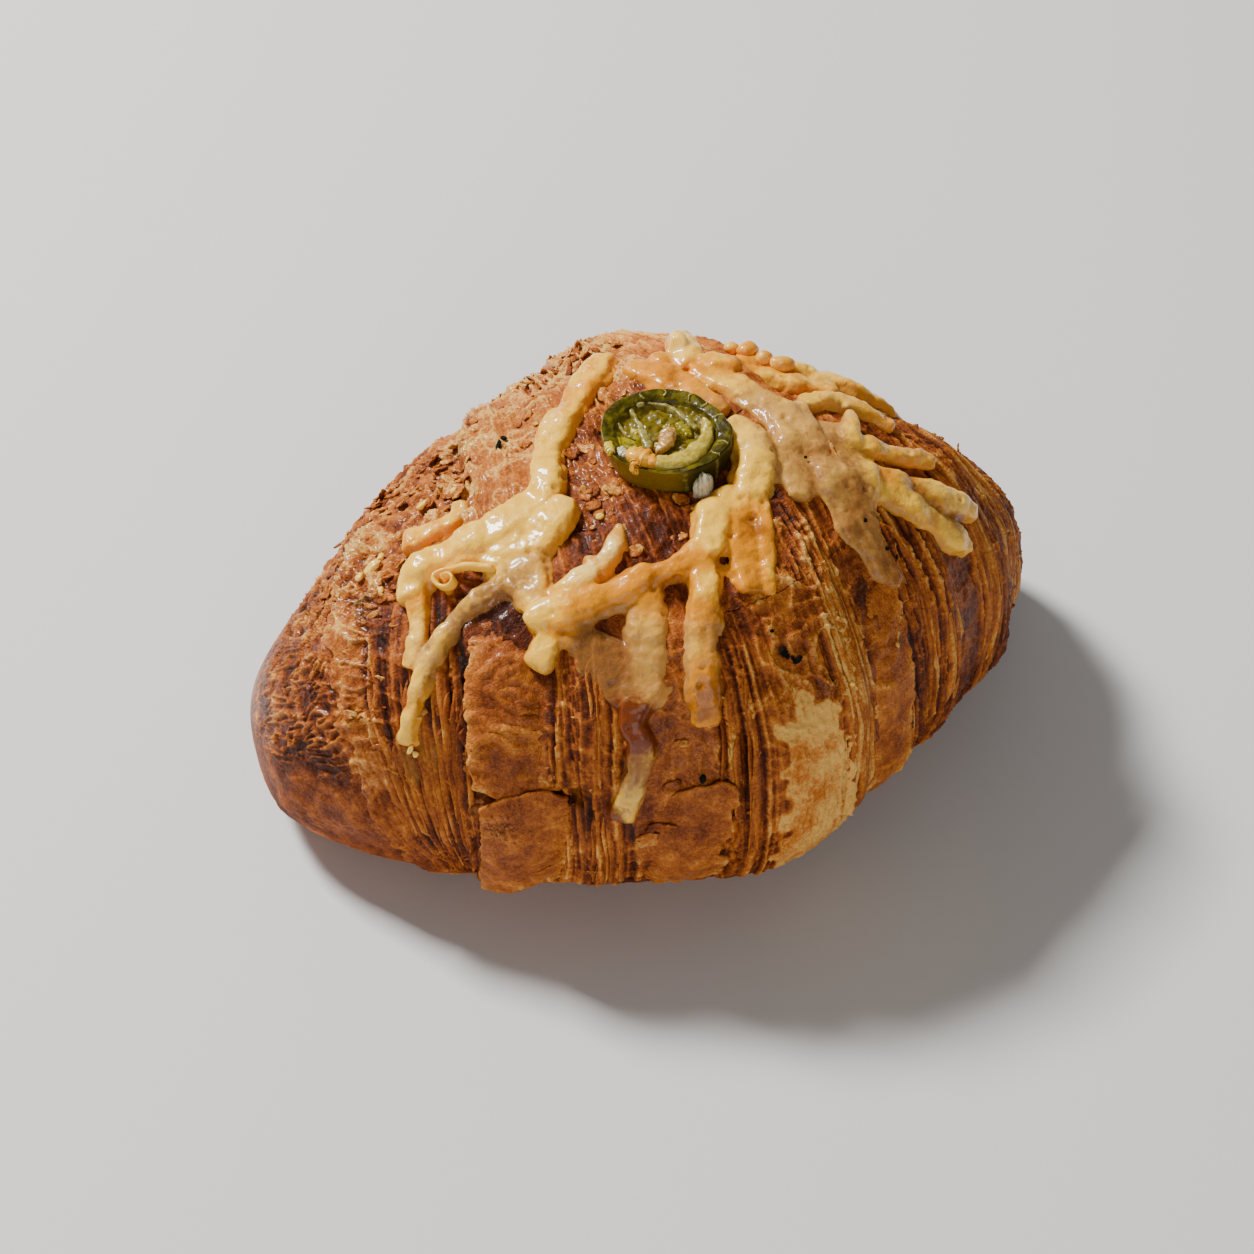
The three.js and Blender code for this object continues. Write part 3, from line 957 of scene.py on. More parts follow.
@dataclass(frozen=True)
class PepperFlesh:
    """Cooked chilli pepper: olive skin that goes from brown to dark green, a dark cut face and a wet olive bed."""

    name: str = "pepper_flesh"
    skin: Colour = srgb(48, 42, 2)
    warm: Colour = srgb(116, 90, 10)
    cut: Colour = srgb(54, 47, 2)
    cut_light: Colour = srgb(104, 92, 8)
    bed: Colour = srgb(112, 94, 14)
    pocket: Colour = srgb(158, 142, 10)
    line: Colour = srgb(160, 152, 80)
    patch_size: float = 2.6
    speck_size: float = 0.9
    roughness: float = 0.4
    gloss: float = 0.16

    def material(self) -> Finish:
        """The finish as a material, which reads warm, cut, bed, pocket and line from the mesh.

        Returns:
            The material.
        """
        shop = Shop(self.name)
        patches = shop.noise(self.patch_size, 3, 0.55, 0.8)
        specks = shop.noise(self.speck_size, 3, 0.6, 0.4)
        warm = (shop.attribute("warm") + (patches - 0.5) * 0.5).within(0.1, 0.9)
        colour = shop.mix(warm, self.skin, self.warm)
        cut = shop.mix(patches.within(0.42, 0.7), self.cut, self.cut_light)
        colour = shop.mix(shop.attribute("cut"), colour, cut)
        colour = shop.mix(shop.attribute("bed") * specks.within(0.25, 0.6), colour, self.bed)
        colour = shop.mix((shop.attribute("pocket") + (specks - 0.5) * 0.4).within(0.2, 0.9), colour, self.pocket)
        colour = shop.mix((shop.attribute("line") * (0.4 + specks)).within(0.45, 0.8) * 0.7, colour, self.line)
        return shop.finish(Base_Color=colour, Roughness=self.roughness + (patches - 0.5) * 0.3,
                           Specular_IOR_Level=0.1, Coat_Weight=self.gloss, Coat_Roughness=0.1,
                           Normal=shop.bump(specks, 0.6))


@dataclass(frozen=True)
class PepperPith:
    """The wet, half clear membranes and seeds of the pepper."""

    name: str
    deep: Colour
    light: Colour
    streak_size: float = 1.3

    def material(self) -> Finish:
        """The finish as a material.

        Returns:
            The material.
        """
        shop = Shop(self.name)
        streaks = shop.noise(self.streak_size, 3, 0.6, 0.8)
        colour = shop.mix(streaks.within(0.3, 0.7), self.deep, self.light)
        return shop.finish(Base_Color=colour, Roughness=0.3, Specular_IOR_Level=0.4, Coat_Weight=0.3,
                           Coat_Roughness=0.08, Subsurface_Weight=0.4, Subsurface_Radius=(0.8, 0.8, 0.25),
                           Subsurface_Scale=0.0012, Normal=shop.bump(streaks, 0.5))


@dataclass(frozen=True)
class Herb:
    """Dried herb, nearly black."""

    name: str = "herb"
    colour: Colour = srgb(16, 14, 8)

    def material(self) -> Finish:
        """The finish as a material."""
        return Shop(self.name).finish(Base_Color=self.colour, Roughness=0.8, Specular_IOR_Level=0.1)


class Turn(Enum):
    """The turns of dough that the crust is built from.

    Each has the wraps where it starts and ends, and whether its start and its end lie on top of the next turn.
    """

    LEFT_END = (-1.0, -0.6, False, False)
    SECOND = (-0.66, -0.4, True, False)
    LEFT_BELLY = (-0.46, -0.03, True, False)
    RIGHT_BELLY = (-0.09, 0.27, True, True)
    FOURTH = (0.21, 0.56, False, True)
    RIGHT_END = (0.5, 1.0, False, False)


# Where the edges of many thin layers show as lines around the roll
LAMINATED = (
    Band(-0.6, -0.455, 30, 118), Band(-0.335, -0.285, 36, 78), Band(-0.262, -0.235, 38, 78, 0.9),
    Band(-0.345, -0.225, 80, 118), Band(-0.105, -0.03, 50, 118), Band(0.08, 0.15, 30, 118),
    Band(0.225, 0.31, 20, 118, 1.2), Band(0.32, 0.37, 28, 118, 0.9), Band(0.46, 0.57, 18, 118, 0.9),
    Band(0.62, 0.76, 0, 118, 0.8), Band(-0.66, -0.56, -125, -24, 0.8), Band(-0.46, -0.38, -125, -30),
    Band(-0.28, -0.18, -125, -30, 0.9), Band(-0.02, 0.06, -125, -35), Band(0.2, 0.29, -125, -26),
    Band(0.42, 0.5, -125, -20, 0.9), Band(0.62, 0.72, -125, -20, 0.8),
)
SMOOTH_PANELS = (
    Band(-0.445, -0.345, 30, 75, 1, 0.006), Band(-0.435, -0.345, 81, 118), Band(-0.225, -0.11, 30, 118),
    Band(0.155, 0.222, 48, 104), Band(-0.36, -0.29, -120, -40), Band(0.08, 0.17, -120, -45),
    Band(0.32, 0.4, -120, -40), Band(0.39, 0.45, 30, 100, 0.8),
)
STRAW_PATCH = Band(-0.018, 0.06, 69, 122, 1.0, 0.012, 5, 0.0026)
SPLIT = Band(-0.45, -0.31, 76.5, 79, 1.0, 0.02, 1.4)
CRUMB_POCKETS = (Band(-0.575, -0.462, 67, 73, 0.6, 0.02, 4), Band(-0.46, -0.31, 77, 80, 0.4, 0.02, 2.5))
DARKER = (
    Band(-0.24, 0.1, -6, 26, 0.28, 0.05, 12), Band(0.2, 0.3, 58, 118, 0.2, 0.02, 8),
    Band(-0.46, -0.33, 24, 44, 0.34, 0.03, 8),
)
CRAGS = Band(-0.84, -0.48, -24, 18, 1.0, 0.08, 10)
BUBBLY = (
    Band(-0.67, -0.595, 2, 76, 1, 0.01), Band(-0.45, 0.05, -45, 6, 0.8, 0.05, 14), Band(0, 0.12, 20, 66, 0.7),
)
CHARRED = Spot.rows(
    (-0.41, 84, 3.8, 1.1), (-0.37, -9, 2.6, 0.8), (-0.49, -15, 4.5, 0.5), (-0.51, -17, 3.5, 0.5),
    (-0.187, -23, 1.8, 0.7), (-0.64, 22, 4, 0.7), (-0.65, 26, 3, 0.7), (0.176, 53, 2.4, 1.3),
    (0.19, 50, 1.8, 1), (0.07, 64, 2.6, 0.8), (0.488, 76, 3, 1), (-0.02, 31, 1.6, 1.4), (-0.034, 38, 2.4, 1),
    (-0.045, 43, 2.4, 0.9), (-0.07, 55, 2.6, 0.7), (-0.3, 72, 5, 0.5), (-0.24, 70, 4, 0.5),
    (0.03, -38, 3.5, 0.4), (0.08, -37, 3, 0.5), (-0.2, 60, 5, 0.4), (0.3, 72, 4, 0.5), (0.25, 62, 3, 0.5),
    (0.72, 40, 7, 0.4), (0.1, -20, 4, 0.5), (-0.59, 8, 3, 0.6), (0.6, 60, 6, 0.5), (-0.66, 72, 3, 0.5),
    (-0.42, -45, 5, 0.4), (0.3, -60, 5, 0.4), (0.05, -70, 4, 0.4), (-0.7, -60, 5, 0.4),
)


@dataclass
class Lamination:
    """The lines that many thin layers of dough leave around the roll.

    Its layers are (pitch in millimetres, weight) pairs, and they face the other way past the share turns_at.
    """

    roll: Roll
    seed: int = 3
    turns_at: float = 0.04
    layers: tuple[Pair, ...] = ((0.95, 0.5), (2.1, 0.6))

    def __post_init__(self) -> None:
        """Draws its random numbers."""
        self.grain = Grain(self.seed)

    def faces(self, wrap: Array) -> Array:
        """The side that the layers face, -1 for left and 1 for right."""
        return np.where(wrap < self.turns_at, -1, 1)

    def drift(self, x: Array, arc: Array) -> Array:
        """How far the lines wander along the roll."""
        flat = xyz(x, arc)
        return 1.7 * self.grain.at(flat, (19, 48, 1)) + 0.3 * self.grain.at(flat + 5, (7, 20, 1))

    def height(self, wrap: Array, angle: Array) -> Array:
        """Steps like those of shingles, -0.7 to 0.7, which face away from the middle of the roll.

        Args:
            wrap: Shares along the roll before it leans.
            angle: Angles in degrees.

        Returns:
            One number for each place.
        """
        x = wrap * self.roll.half
        u = x + self.drift(x, angle)
        total = np.zeros(len(x))
        for pitch, weight in self.layers:
            flat = xyz(u, angle, pitch * 9)
            phase = u / pitch + 0.5 * self.grain.at(flat, (5 * pitch, 60, 1))
            layer = np.floor(phase)
            key = xyz(layer * 2.37, angle, pitch)
            strength = np.clip(0.75 + 1.2 * self.grain.at(key, (1, 24, 1)), 0.05, 1.5)
            total += weight * strength * (phase - layer - 0.5) * self.faces(wrap)
        flat = xyz(u, angle, 3.3)
        return total + 0.35 * self.grain.at(flat, (0.8, 45, 1))


@dataclass
class Ground:
    """The vertices of a turn of dough, and how much of each kind of crust they have.

    Each has a wrap and an angle, a depth down a cut end, 0 to 1, and clear, its way from that end in millimetres.
    Its w and a are the wrap and the angle with the raggedness of the kinds' borders. Its near is 0 underneath.
    """

    roll: Roll
    grain: Grain
    wrap: Array
    angle: Array
    depth: Array
    clear: Array

    def __post_init__(self) -> None:
        """Works out the places and the kinds of crust."""
        grain, wrap, angle = self.grain, self.wrap, self.angle
        self.share = np.clip(wrap + self.roll.lean(wrap, angle), -1, 1)
        self.smooth = smooth = self.roll.smooth(self.share, angle)
        self.near = 1 - ease(np.abs(angle), 112, 158)
        self.w = w = wrap + 0.016 * grain.at(smooth, 6) + 0.006 * grain.at(smooth, 1.9)
        self.a = a = angle + 5 * grain.at(smooth + 60, 7) + 1.6 * grain.at(smooth + 60, 2.2)
        self.laminated, self.panel, self.bubbly = (covered(kind, w, a) for kind in (LAMINATED, SMOOTH_PANELS, BUBBLY))
        self.cap = (1 - ease(w, -0.7, -0.655)) * ease(a, -48, 8) * self.near
        self.waxy = self.cap * ease(a, 70, 86)
        self.wrinkled = self.cap - 0.85 * self.waxy
        self.crumbly = CRAGS.cover(self.share, a) * (1 - 0.5 * self.cap)
        ragged = 0.014 * grain.at(smooth, 3), 5 * grain.at(smooth + 9, 3.5)
        self.straw = ease(STRAW_PATCH.cover(w + ragged[0], a + ragged[1]), 0.1, 0.85)
        others = self.laminated + self.panel + self.cap + self.crumbly + self.straw + self.bubbly
        self.plain = np.clip(1 - others, 0, 1)
        self.split = SPLIT.cover(wrap, angle + 1.5 * grain.at(smooth, 5))


@dataclass
class DoughTurn:
    """One turn of dough, closed at both ends, with an end that lies on top cut off ragged and steep."""

    crust: Crust
    lamination: Lamination
    turn: Turn
    most_sides: int = 720
    most_triangles: int = 190_000
    ring_step: float = 0.23
    wall_rings: int = 12
    seed: int = 11
    front_weight: float = 2.4
    split_depth: float = 2.6
    pillow_size: float = 2.1
    film_size: float = 4.4
    fine_film_size: float = 2.4
    net_size: float = 1.3
    crag_size: float = 3.1
    fine_crag_size: float = 1.3
    blister_size: float = 6.5
    swell_size: float = 16.0
    curl_rise: float = 0.9
    curl_width: float = 0.9

    def sampled(self) -> tuple[Thing, Array, Array, Array, Array]:
        """The sheet and, for each vertex, its wrap, angle, depth below the crust and way to an end on top.

        Returns:
            The sheet and those four.
        """
        first, last, first_on_top, last_on_top = self.turn.value
        half = self.crust.roll.half
        span = (last - first) * half
        rings = round(span / self.ring_step)
        fall = np.linspace(0, 1, self.wall_rings + 1)[1:]
        before = [] if first <= -1 else fall[::-1]
        after = [] if last >= 1 else fall
        ways = np.concatenate([np.zeros(len(before)), np.linspace(0, span, rings + 1), np.full(len(after), span)])
        depths = np.concatenate([before, np.zeros(rings + 1), after])
        sides = min(self.most_sides, self.most_triangles // (2 * len(ways)))
        thing, ring, around = sheet(f"dough_{self.turn.name.lower()}", len(ways) - 1, sides)
        way, depth, angle = ways[ring], depths[ring], self._angles(around)
        wrap = first + way / half
        if first <= -1:
            wrap = self._spread_tip(wrap, -1)
        if last >= 1:
            wrap = self._spread_tip(wrap, 1)
        clear = np.full(len(way), 99.0)
        grain = Grain(self.seed + len(self.turn.name))
        line = xyz(angle, 0, first * 50)
        ragged = 1.5 * grain.at(line, 11) + 0.9 * grain.at(line, 3.4)
        for on_top, gap, outside in ((first_on_top, way, -1), (last_on_top, span - way, 1)):
            if on_top:
                clear = np.minimum(clear, gap)
                wrap = wrap + outside * ragged * np.exp(-gap / 4) / half
        return thing, np.clip(wrap, -1, 1), angle, depth, clear

    @staticmethod
    def _spread_tip(wrap: Array, end: int) -> Array:
        """Sets rings closer together towards a tip, where the surface falls away steeply.

        Args:
            wrap: Shares along the roll before it leans.
            end: -1 for the left tip or 1 for the right one.

        Returns:
            The wraps, moved.
        """
        reach = 0.16
        t = np.clip((1 - end * wrap) / reach, 0, 1)
        return np.where(t < 1, end * (1 - reach * t**1.7), wrap)

    def _angles(self, around: Array) -> Array:
        """Sets sides closer together over the crown and the front.

        Args:
            around: Ways around the roll, 0 to 1.

        Returns:
            Angles in degrees.
        """
        fine = np.arange(-180, 180.5, 0.5)
        weight = 1 + (self.front_weight - 1) * ease(fine, -75, -45) * (1 - ease(fine, 112, 130))
        cumulative = np.concatenate([[0], np.cumsum((weight[1:] + weight[:-1]) / 2)])
        return np.interp(around * cumulative[-1], cumulative, fine)

    def step(self, wrap: Array) -> Array:
        """The steps of the wrap edges, cut clean where this turn meets its neighbours.

        Args:
            wrap: Shares along the roll before it leans.

        Returns:
            Heights in millimetres.
        """
        first, last, first_on_top, last_on_top = self.turn.value
        height = np.zeros(len(wrap))
        for edge in self.crust.roll.edges:
            side = 0
            for end, on_top in ((first, first_on_top), (last, last_on_top)):
                if on_top and abs(edge.at - end) < 0.01:
                    side = 1
                if not on_top and 0.01 < abs(edge.at - end) < 0.065:
                    side = -1
            height = height + self.crust.roll.lip(edge, wrap, side)
        return height

    def fine_relief(self, ground: Ground) -> Array:
        """The lines, wrinkles, pores and crags of each kind of crust.

        Args:
            ground: The vertices, with their kinds of crust.

        Returns:
            Heights in millimetres.
        """
        grain, smooth, cut = ground.grain, ground.smooth, ground.wrap * ground.roll.half
        lines = self.lamination.height(ground.wrap, ground.angle)
        pillows = 0.55 - grain.cells(smooth, self.pillow_size)
        bent = smooth + 2.2 * xyz(*(grain.at(smooth + 17.3 * k, 7) for k in range(3)))
        arc = MM_PER_DEGREE * ground.angle
        slant = xyz(cut + arc, cut - arc) * 0.7 + (bent - smooth)
        folds = 0.85 * grain.ridges(slant, (1.6, 3.6, 1.6), 0.1)
        folds = folds + 0.4 * grain.ridges(slant + 40, (1.0, 2.1, 1.1), 0.14) - 0.3
        film = 0.9 * grain.ridges(bent, self.film_size, 0.09)
        film = film + 0.5 * grain.ridges(bent + 50, self.fine_film_size, 0.13) - 0.3
        net = grain.ridges(smooth * (1, 1, 0.45) + 70, self.net_size, 0.2)
        crags = grain.at(smooth, self.crag_size) * 1.4 + grain.at(smooth, self.fine_crag_size) * 0.8
        plain, panel, bubbly, crumbly = ground.plain, ground.panel, ground.bubbly, ground.crumbly
        fine = (ground.laminated + plain * 0.55 + panel * 0.16 + ground.straw * 0.15 + bubbly * 0.25) * lines
        fine = fine + (plain * 0.25 + 0.3 * crumbly + 0.3 * bubbly) * pillows
        fine = fine + ground.wrinkled * (folds + 0.4 * grain.at(bent, 3)) + 0.55 * ground.straw * (net - 0.4)
        fine = fine + (0.8 * crumbly + 0.75 * bubbly + 0.45 * plain + 0.42 * panel + 0.4 * ground.laminated) * film
        fine = fine + (crumbly * 0.6 + ground.waxy * 0.15) * np.clip(crags, -1, 1)
        return fine * (1 - 0.5 * np.exp(-ground.clear / 1.2))

    def height(self, ground: Ground, fine: Array) -> Array:
        """How far the crust stands out from the smooth roll, with its steps, its swell and its curled edges.

        Args:
            ground: The vertices, with their kinds of crust.
            fine: Its fine relief.

        Returns:
            Heights in millimetres.
        """
        grain, angle = ground.grain, ground.angle
        large = np.clip(0.5 - grain.cells(ground.smooth + 9, self.blister_size), 0, 1)
        broad = 0.9 * grain.at(ground.smooth, self.swell_size)
        broad = broad + (ground.panel + ground.bubbly + ground.plain) * 1.2 * large
        curl = np.clip(0.25 + 0.9 * grain.at(xyz(angle), 8), 0, 1)
        height = self.step(ground.wrap) + fine + broad
        height = height + self.curl_rise * curl * np.exp(-ground.clear / self.curl_width)
        height = height + ground.roll.blisters(ground.share, angle)
        return (height - self.split_depth * ground.split) * ground.roll.fade(ground.share, angle)

    def bake(self, ground: Ground, fine: Array) -> Array:
        """How dark the crust is painted: browning that is paler behind and underneath and darker where it caught,
        with painted highlight on its raised edges and lips, painted shade in its hollows, its split and down its cut
        ends, and painted light over the top.

        Args:
            ground: The vertices, with their kinds of crust.
            fine: Its fine relief.

        Returns:
            Numbers from 0 for straw to 1 for nearly black.
        """
        grain, share, angle, cap = ground.grain, ground.share, ground.angle, ground.cap
        laminated, straw, near = ground.laminated, ground.straw, ground.near
        patches = 0.16 * grain.at(ground.smooth + 40, 6)
        bake = 0.5 + 0.02 * laminated + 0.12 * cap + 0.06 * ease(share, 0.3, 0.6) - 0.04 * ground.panel
        # Painted highlight on raised relief and painted shade in its hollows, over the browning
        bake = bake - (0.36 + 0.2 * laminated - 0.2 * straw + 0.1 * ground.wrinkled) * np.tanh(1.5 * fine)
        bake = bake - 0.42 * straw + 0.12 * grain.at(ground.smooth + 20, 15) + patches - 0.08 * ground.waxy
        # Painted shade in the split and down the cut ends, and painted highlight along the lips of the edges
        bake = bake + 0.1 * ground.split + 0.25 * ground.depth - 0.08 * np.exp(-ground.clear / 0.5)
        bake = bake - 0.2 * ease(np.abs(angle), 116, 150) - 0.1 * cap - 0.12 * ground.bubbly
        # Painted light over the top of the roll
        bake = bake - 0.2 * near * ease(angle, 36, -10) * (1 - cap) * (1 - 0.6 * ease(-share, 0.45, 0.7))
        bake = bake + covered(DARKER, share, angle) + 0.12 * near * ease(angle, 68, 92) * ease(share, 0.13, 0.16)
        bake = bake + 0.06 * near * ease(share, 0.36, 0.46) * ease(angle, 10, 40) + 0.1 * cap * ease(ground.a, 48, 75)
        bake = bake + laminated * (0.02 + 0.14 * ease(-share, 0.36, 0.46) - 0.08 * ease(share, -0.1, 0.1))
        bake = bake + 0.13 * np.cos(np.pi * self.wall_rings * ground.depth) * (ground.depth > 0)
        tip = ease(np.abs(ground.wrap), 0.9, 0.99)
        return bake * (1 - tip) + tip * (0.46 + patches)

    def build(self, finish: Finish) -> None:
        """Models and paints the turn.

        Args:
            finish: Its finish.
        """
        thing, wrap, angle, depth, clear = self.sampled()
        ground = Ground(self.crust.roll, Grain(self.seed), wrap, angle, depth, clear)
        fine = self.fine_relief(ground)
        points = ground.smooth + ground.roll.outward(ground.share, angle) * self.height(ground, fine)[:, None]
        middle = ground.roll.middle(ground.share)
        points = middle + (points - middle) * (1 - depth**2)[:, None]
        points[:, 2] = np.maximum(points[:, 2], 0)
        write(thing, points + self.crust.shift)
        laminated, panel, straw = ground.laminated, ground.panel, ground.straw
        wash = 0.3 + 0.5 * ground.wrinkled + 0.35 * ground.crumbly + 0.5 * ground.bubbly
        wash = np.clip(wash + 0.35 * panel - 0.6 * straw, 0, 1) * (1 - ease(np.abs(angle), 92, 120))
        along = wrap * ground.roll.half
        paint(thing, bake=self.bake(ground, fine), wash=wash, crumb=covered(CRUMB_POCKETS, ground.w, ground.a),
              char=spotted(self.crust, ground.smooth + self.crust.shift, CHARRED),
              layered=laminated + 0.5 * ground.plain + 0.2 * panel + 0.1 * straw,
              along=along + self.lamination.drift(along, angle), around=angle)
        weld(thing)
        hand_over(thing, "croissant", finish)


@dataclass
class LayerEdges:
    """Thin layers of dough that stand out at their edge, along the laminated stretches."""

    crust: Crust
    lamination: Lamination
    count: int = 230
    lengths: int = 44
    seed: int = 8
    thickness: float = 0.22
    spans: Pair = (16, 75)
    widths: Pair = (0.6, 1.4)
    lifts: Pair = (0.25, 0.75)

    def build(self, finish: Finish) -> None:
        """Models and paints all of them as one piece.

        Args:
            finish: Its finish.
        """
        random = np.random.default_rng(self.seed)
        bands = np.array([(band.left, band.right, band.top, band.foot) for band in LAMINATED]).T
        left, right, top, foot = bands
        area = (right - left) * (foot - top) * np.where(foot > 0, 2, 1)
        left, right, top, foot = bands[:, random.choice(len(area), self.count, p=area / area.sum())]
        thing, copy, u, v = swarm("layer_edges", self.count, 3, self.lengths)
        length = np.minimum(random.uniform(*self.spans, self.count), foot - top)
        start = top + random.random(self.count) * (foot - top - length)
        wrap0 = left + random.random(self.count) * (right - left)
        width = random.uniform(*self.widths, self.count)
        lift = random.uniform(*self.lifts, self.count)
        angle, half, grain = start[copy] + v * length[copy], self.crust.roll.half, Grain(self.seed)
        wrap0 = wrap0[copy]
        line = xyz(angle, copy * 3.7)
        ends = np.clip(np.sin(np.pi * v) * 2.2, 0, 1) ** 0.5
        out = u * width[copy] * (1 + 0.35 * grain.at(line, 9)) * ends
        x = wrap0 * half - self.lamination.drift(wrap0 * half, angle) + self.lamination.faces(wrap0) * out
        wrap = x / half
        share = wrap + self.crust.roll.lean(wrap, angle)
        rise = (lift[copy] * (1 + 0.5 * grain.at(line + 9, 9)) + 0.3) * u**1.3 * ends - 0.45
        write(thing, self.crust.place(share, angle, rise))
        # Each layer is painted paler towards its standing edge: painted highlight
        pale = 0.32 + 0.14 * ease(wrap0, -0.1, 0.1)
        bake = 0.66 + 0.7 * covered(DARKER, share, angle) - pale * u + 0.12 * grain.at(line, 7)
        paint(thing, bake=bake + 0.12 * np.sin(copy * 7.1), wash=0.35, layered=0.8, along=x, around=angle)
        apply_modifier(thing, "SOLIDIFY", thickness=self.thickness * MM, offset=0)
        hand_over(thing, "croissant", finish)


@dataclass
class Flakes:
    """Small curled chips of crust."""

    crust: Crust
    count: int = 460
    seed: int = 14
    thickness: float = 0.26
    large: tuple[int, ...] = (0, 4)
    large_sizes: Pair = (0.8, 2.2)
    small_sizes: Pair = (0.5, 1.8)
    tilts: Pair = (2, 26)
    bends: Pair = (0.05, 0.3)
    last_share: float = 0.985
    places: tuple[tuple[Band, float], ...] = (
        (Band(-0.82, -0.46, -22, 18), 0.34), (Band(-0.66, -0.58, 10, 78), 0.08), (Band(-0.5, 0.1, -50, 0), 0.3),
        (Band(-0.22, 0, -4, 24), 0.16), (Band(-0.25, 0.08, -54, -26), 0.1), (Band(0.55, 0.95, 10, 110), 0.1),
        (Band(-0.6, -0.05, 40, 112), 0.08), (Band(-0.7, 0.8, -110, -40), 0.09),
    )

    def build(self, finish: Finish) -> None:
        """Models and paints all of them as one piece.

        Args:
            finish: Its finish.
        """
        random = np.random.default_rng(self.seed)
        weights = np.array([weight for _, weight in self.places])
        chosen = random.choice(len(self.places), self.count, p=weights / weights.sum())
        bands = [self.places[k][0] for k in chosen]
        share = np.array([random.uniform(b.left, b.right) for b in bands])
        angle = np.array([random.uniform(b.top, b.foot) for b in bands])
        uneven, large, small = (random.uniform(*ends, self.count)
                                for ends in ((0.8, 1.0), self.large_sizes, self.small_sizes))
        size = uneven * np.where(np.isin(chosen, self.large), large, small)
        long = size * random.uniform(0.5, 0.95, self.count)
        yaw = random.uniform(0, 2 * math.pi, self.count)
        tilt = np.radians(random.uniform(*self.tilts, self.count))
        bend = random.uniform(*self.bends, self.count)
        thing, copy, u, v = swarm("flakes", self.count, 6, 6)
        p, q = 2 * u - 1, 2 * v - 1
        grain = Grain(self.seed)
        key = xyz(p * 1.3 + copy * 5.1, q * 1.3)
        fit = np.sqrt(np.maximum(1 - 0.9 * np.maximum(p**2, q**2) * (p * q) ** 2, 0.2))
        a = p * size[copy] * fit * (1 + 0.22 * grain.at(key, 1))
        b = q * long[copy] * fit * (1 + 0.22 * grain.at(key + 7, 1))
        c = bend[copy] * a**2 / size[copy] + 0.25 * grain.at(key + 13, 0.8) * size[copy]
        c = c + (a + size[copy]) * np.tan(tilt[copy]) - 0.25
        cos, sin = np.cos(yaw[copy]), np.sin(yaw[copy])
        at = np.clip(share[copy] + (a * cos - b * sin) / self.crust.roll.half, -self.last_share, self.last_share)
        write(thing, self.crust.place(at, angle[copy] + a * sin + b * cos, c))
        paint(thing, bake=0.36 + 0.16 * np.sin(copy * 5.3) - 0.12 * p + 0.1 * grain.at(key, 0.7), wash=0.6,
              char=np.clip(np.sin(copy * 2.7) - 0.55, 0, 1) * (chosen[copy] == 0))
        apply_modifier(thing, "SOLIDIFY", thickness=self.thickness * MM, offset=0)
        hand_over(thing, "croissant", finish)


@dataclass(frozen=True)
class Flap:
    """A skin of dough that has come away at some of its edges.

    Its corners are (share, angle) places: upper left, upper right, lower left and lower right. Its lifts are how
    far the left, right, upper and lower edges stand out, and its bulge how far the middle does.
    """

    name: str
    corners: tuple[Pair, ...]
    lifts: tuple[float, float, float, float]
    bulge: float = 0.6
    bake: float = 0.42
    thickness: float = 0.7
    ragged: Pair = (0.5, 0.9)
    seed: int = 1
    crumple: float = 0.3

    def build(self, crust: Crust, lamination: Lamination, finish: Finish) -> None:
        """Models and paints it.

        Args:
            crust: The crust under it.
            lamination: The lines of the layers.
            finish: Its finish.
        """
        half = crust.roll.half
        corners = np.array(self.corners) * (half, 1)
        wide, tall = np.ptp(corners[:, 0]), np.ptp(corners[:, 1])
        columns, rows = round(wide / 0.25), round(tall / 0.4)
        thing, column, v = sheet(self.name, columns, rows)
        u = column / columns
        weights = np.stack([(1 - u) * (1 - v), u * (1 - v), (1 - u) * v, u * v], 1)
        x, a = (weights @ corners).T
        a = a - 0.05 * tall * np.sin(np.pi * u) * (1 - 2 * v)
        grain = Grain(self.seed)
        down, side = xyz(0, a), xyz(x)
        x = x + 1.6 * self.ragged[0] * np.abs(2 * u - 1) ** 5 * (grain.at(down, 9) + 0.6 * grain.at(down, 2.4))
        a = a + 1.6 * self.ragged[1] * np.abs(2 * v - 1) ** 5 * (grain.at(side, 7) + 0.6 * grain.at(side, 2.1))
        flat = xyz(x, MM_PER_DEGREE * a)
        left, right, top, foot = self.lifts
        lift = 0.1 + left * (1 - u) ** 4 + right * u**4 + top * (1 - v) ** 4 + foot * v**4
        lift = lift + self.bulge * np.sin(np.pi * u) * np.sin(np.pi * v) + 0.5 * grain.at(flat, 8)
        film = grain.ridges(flat, 4, 0.1) + 0.5 * grain.ridges(flat + 9, 2.2, 0.13)
        lift = lift + self.crumple * (film - 0.3) + 0.14 * lamination.height(x / half, a) + 0.18 * grain.at(flat, 1.6)
        share = x / half + crust.roll.lean(x / half, a)
        write(thing, crust.place(share, a, lift))
        # Its rims and the ridges of its crumple are painted lighter: painted highlight
        rim = np.maximum(np.exp(-np.minimum(u, 1 - u) * wide / 0.8), np.exp(-np.minimum(v, 1 - v) * tall / 1.3))
        bake = self.bake - 0.2 * rim + 0.16 * (1 - v) ** 3 + 0.14 * grain.at(flat, 7)
        paint(thing, bake=bake + 0.08 * grain.at(flat, 2) - 0.12 * (film - 0.3),
              char=spotted(crust, read(thing) / MM, CHARRED), wash=0.5, layered=0.16,
              along=x + lamination.drift(x, a), around=a)
        apply_modifier(thing, "SOLIDIFY", thickness=self.thickness * MM, offset=-1)
        only(thing)
        bpy.ops.object.shade_smooth()
        hand_over(thing, "croissant", finish)


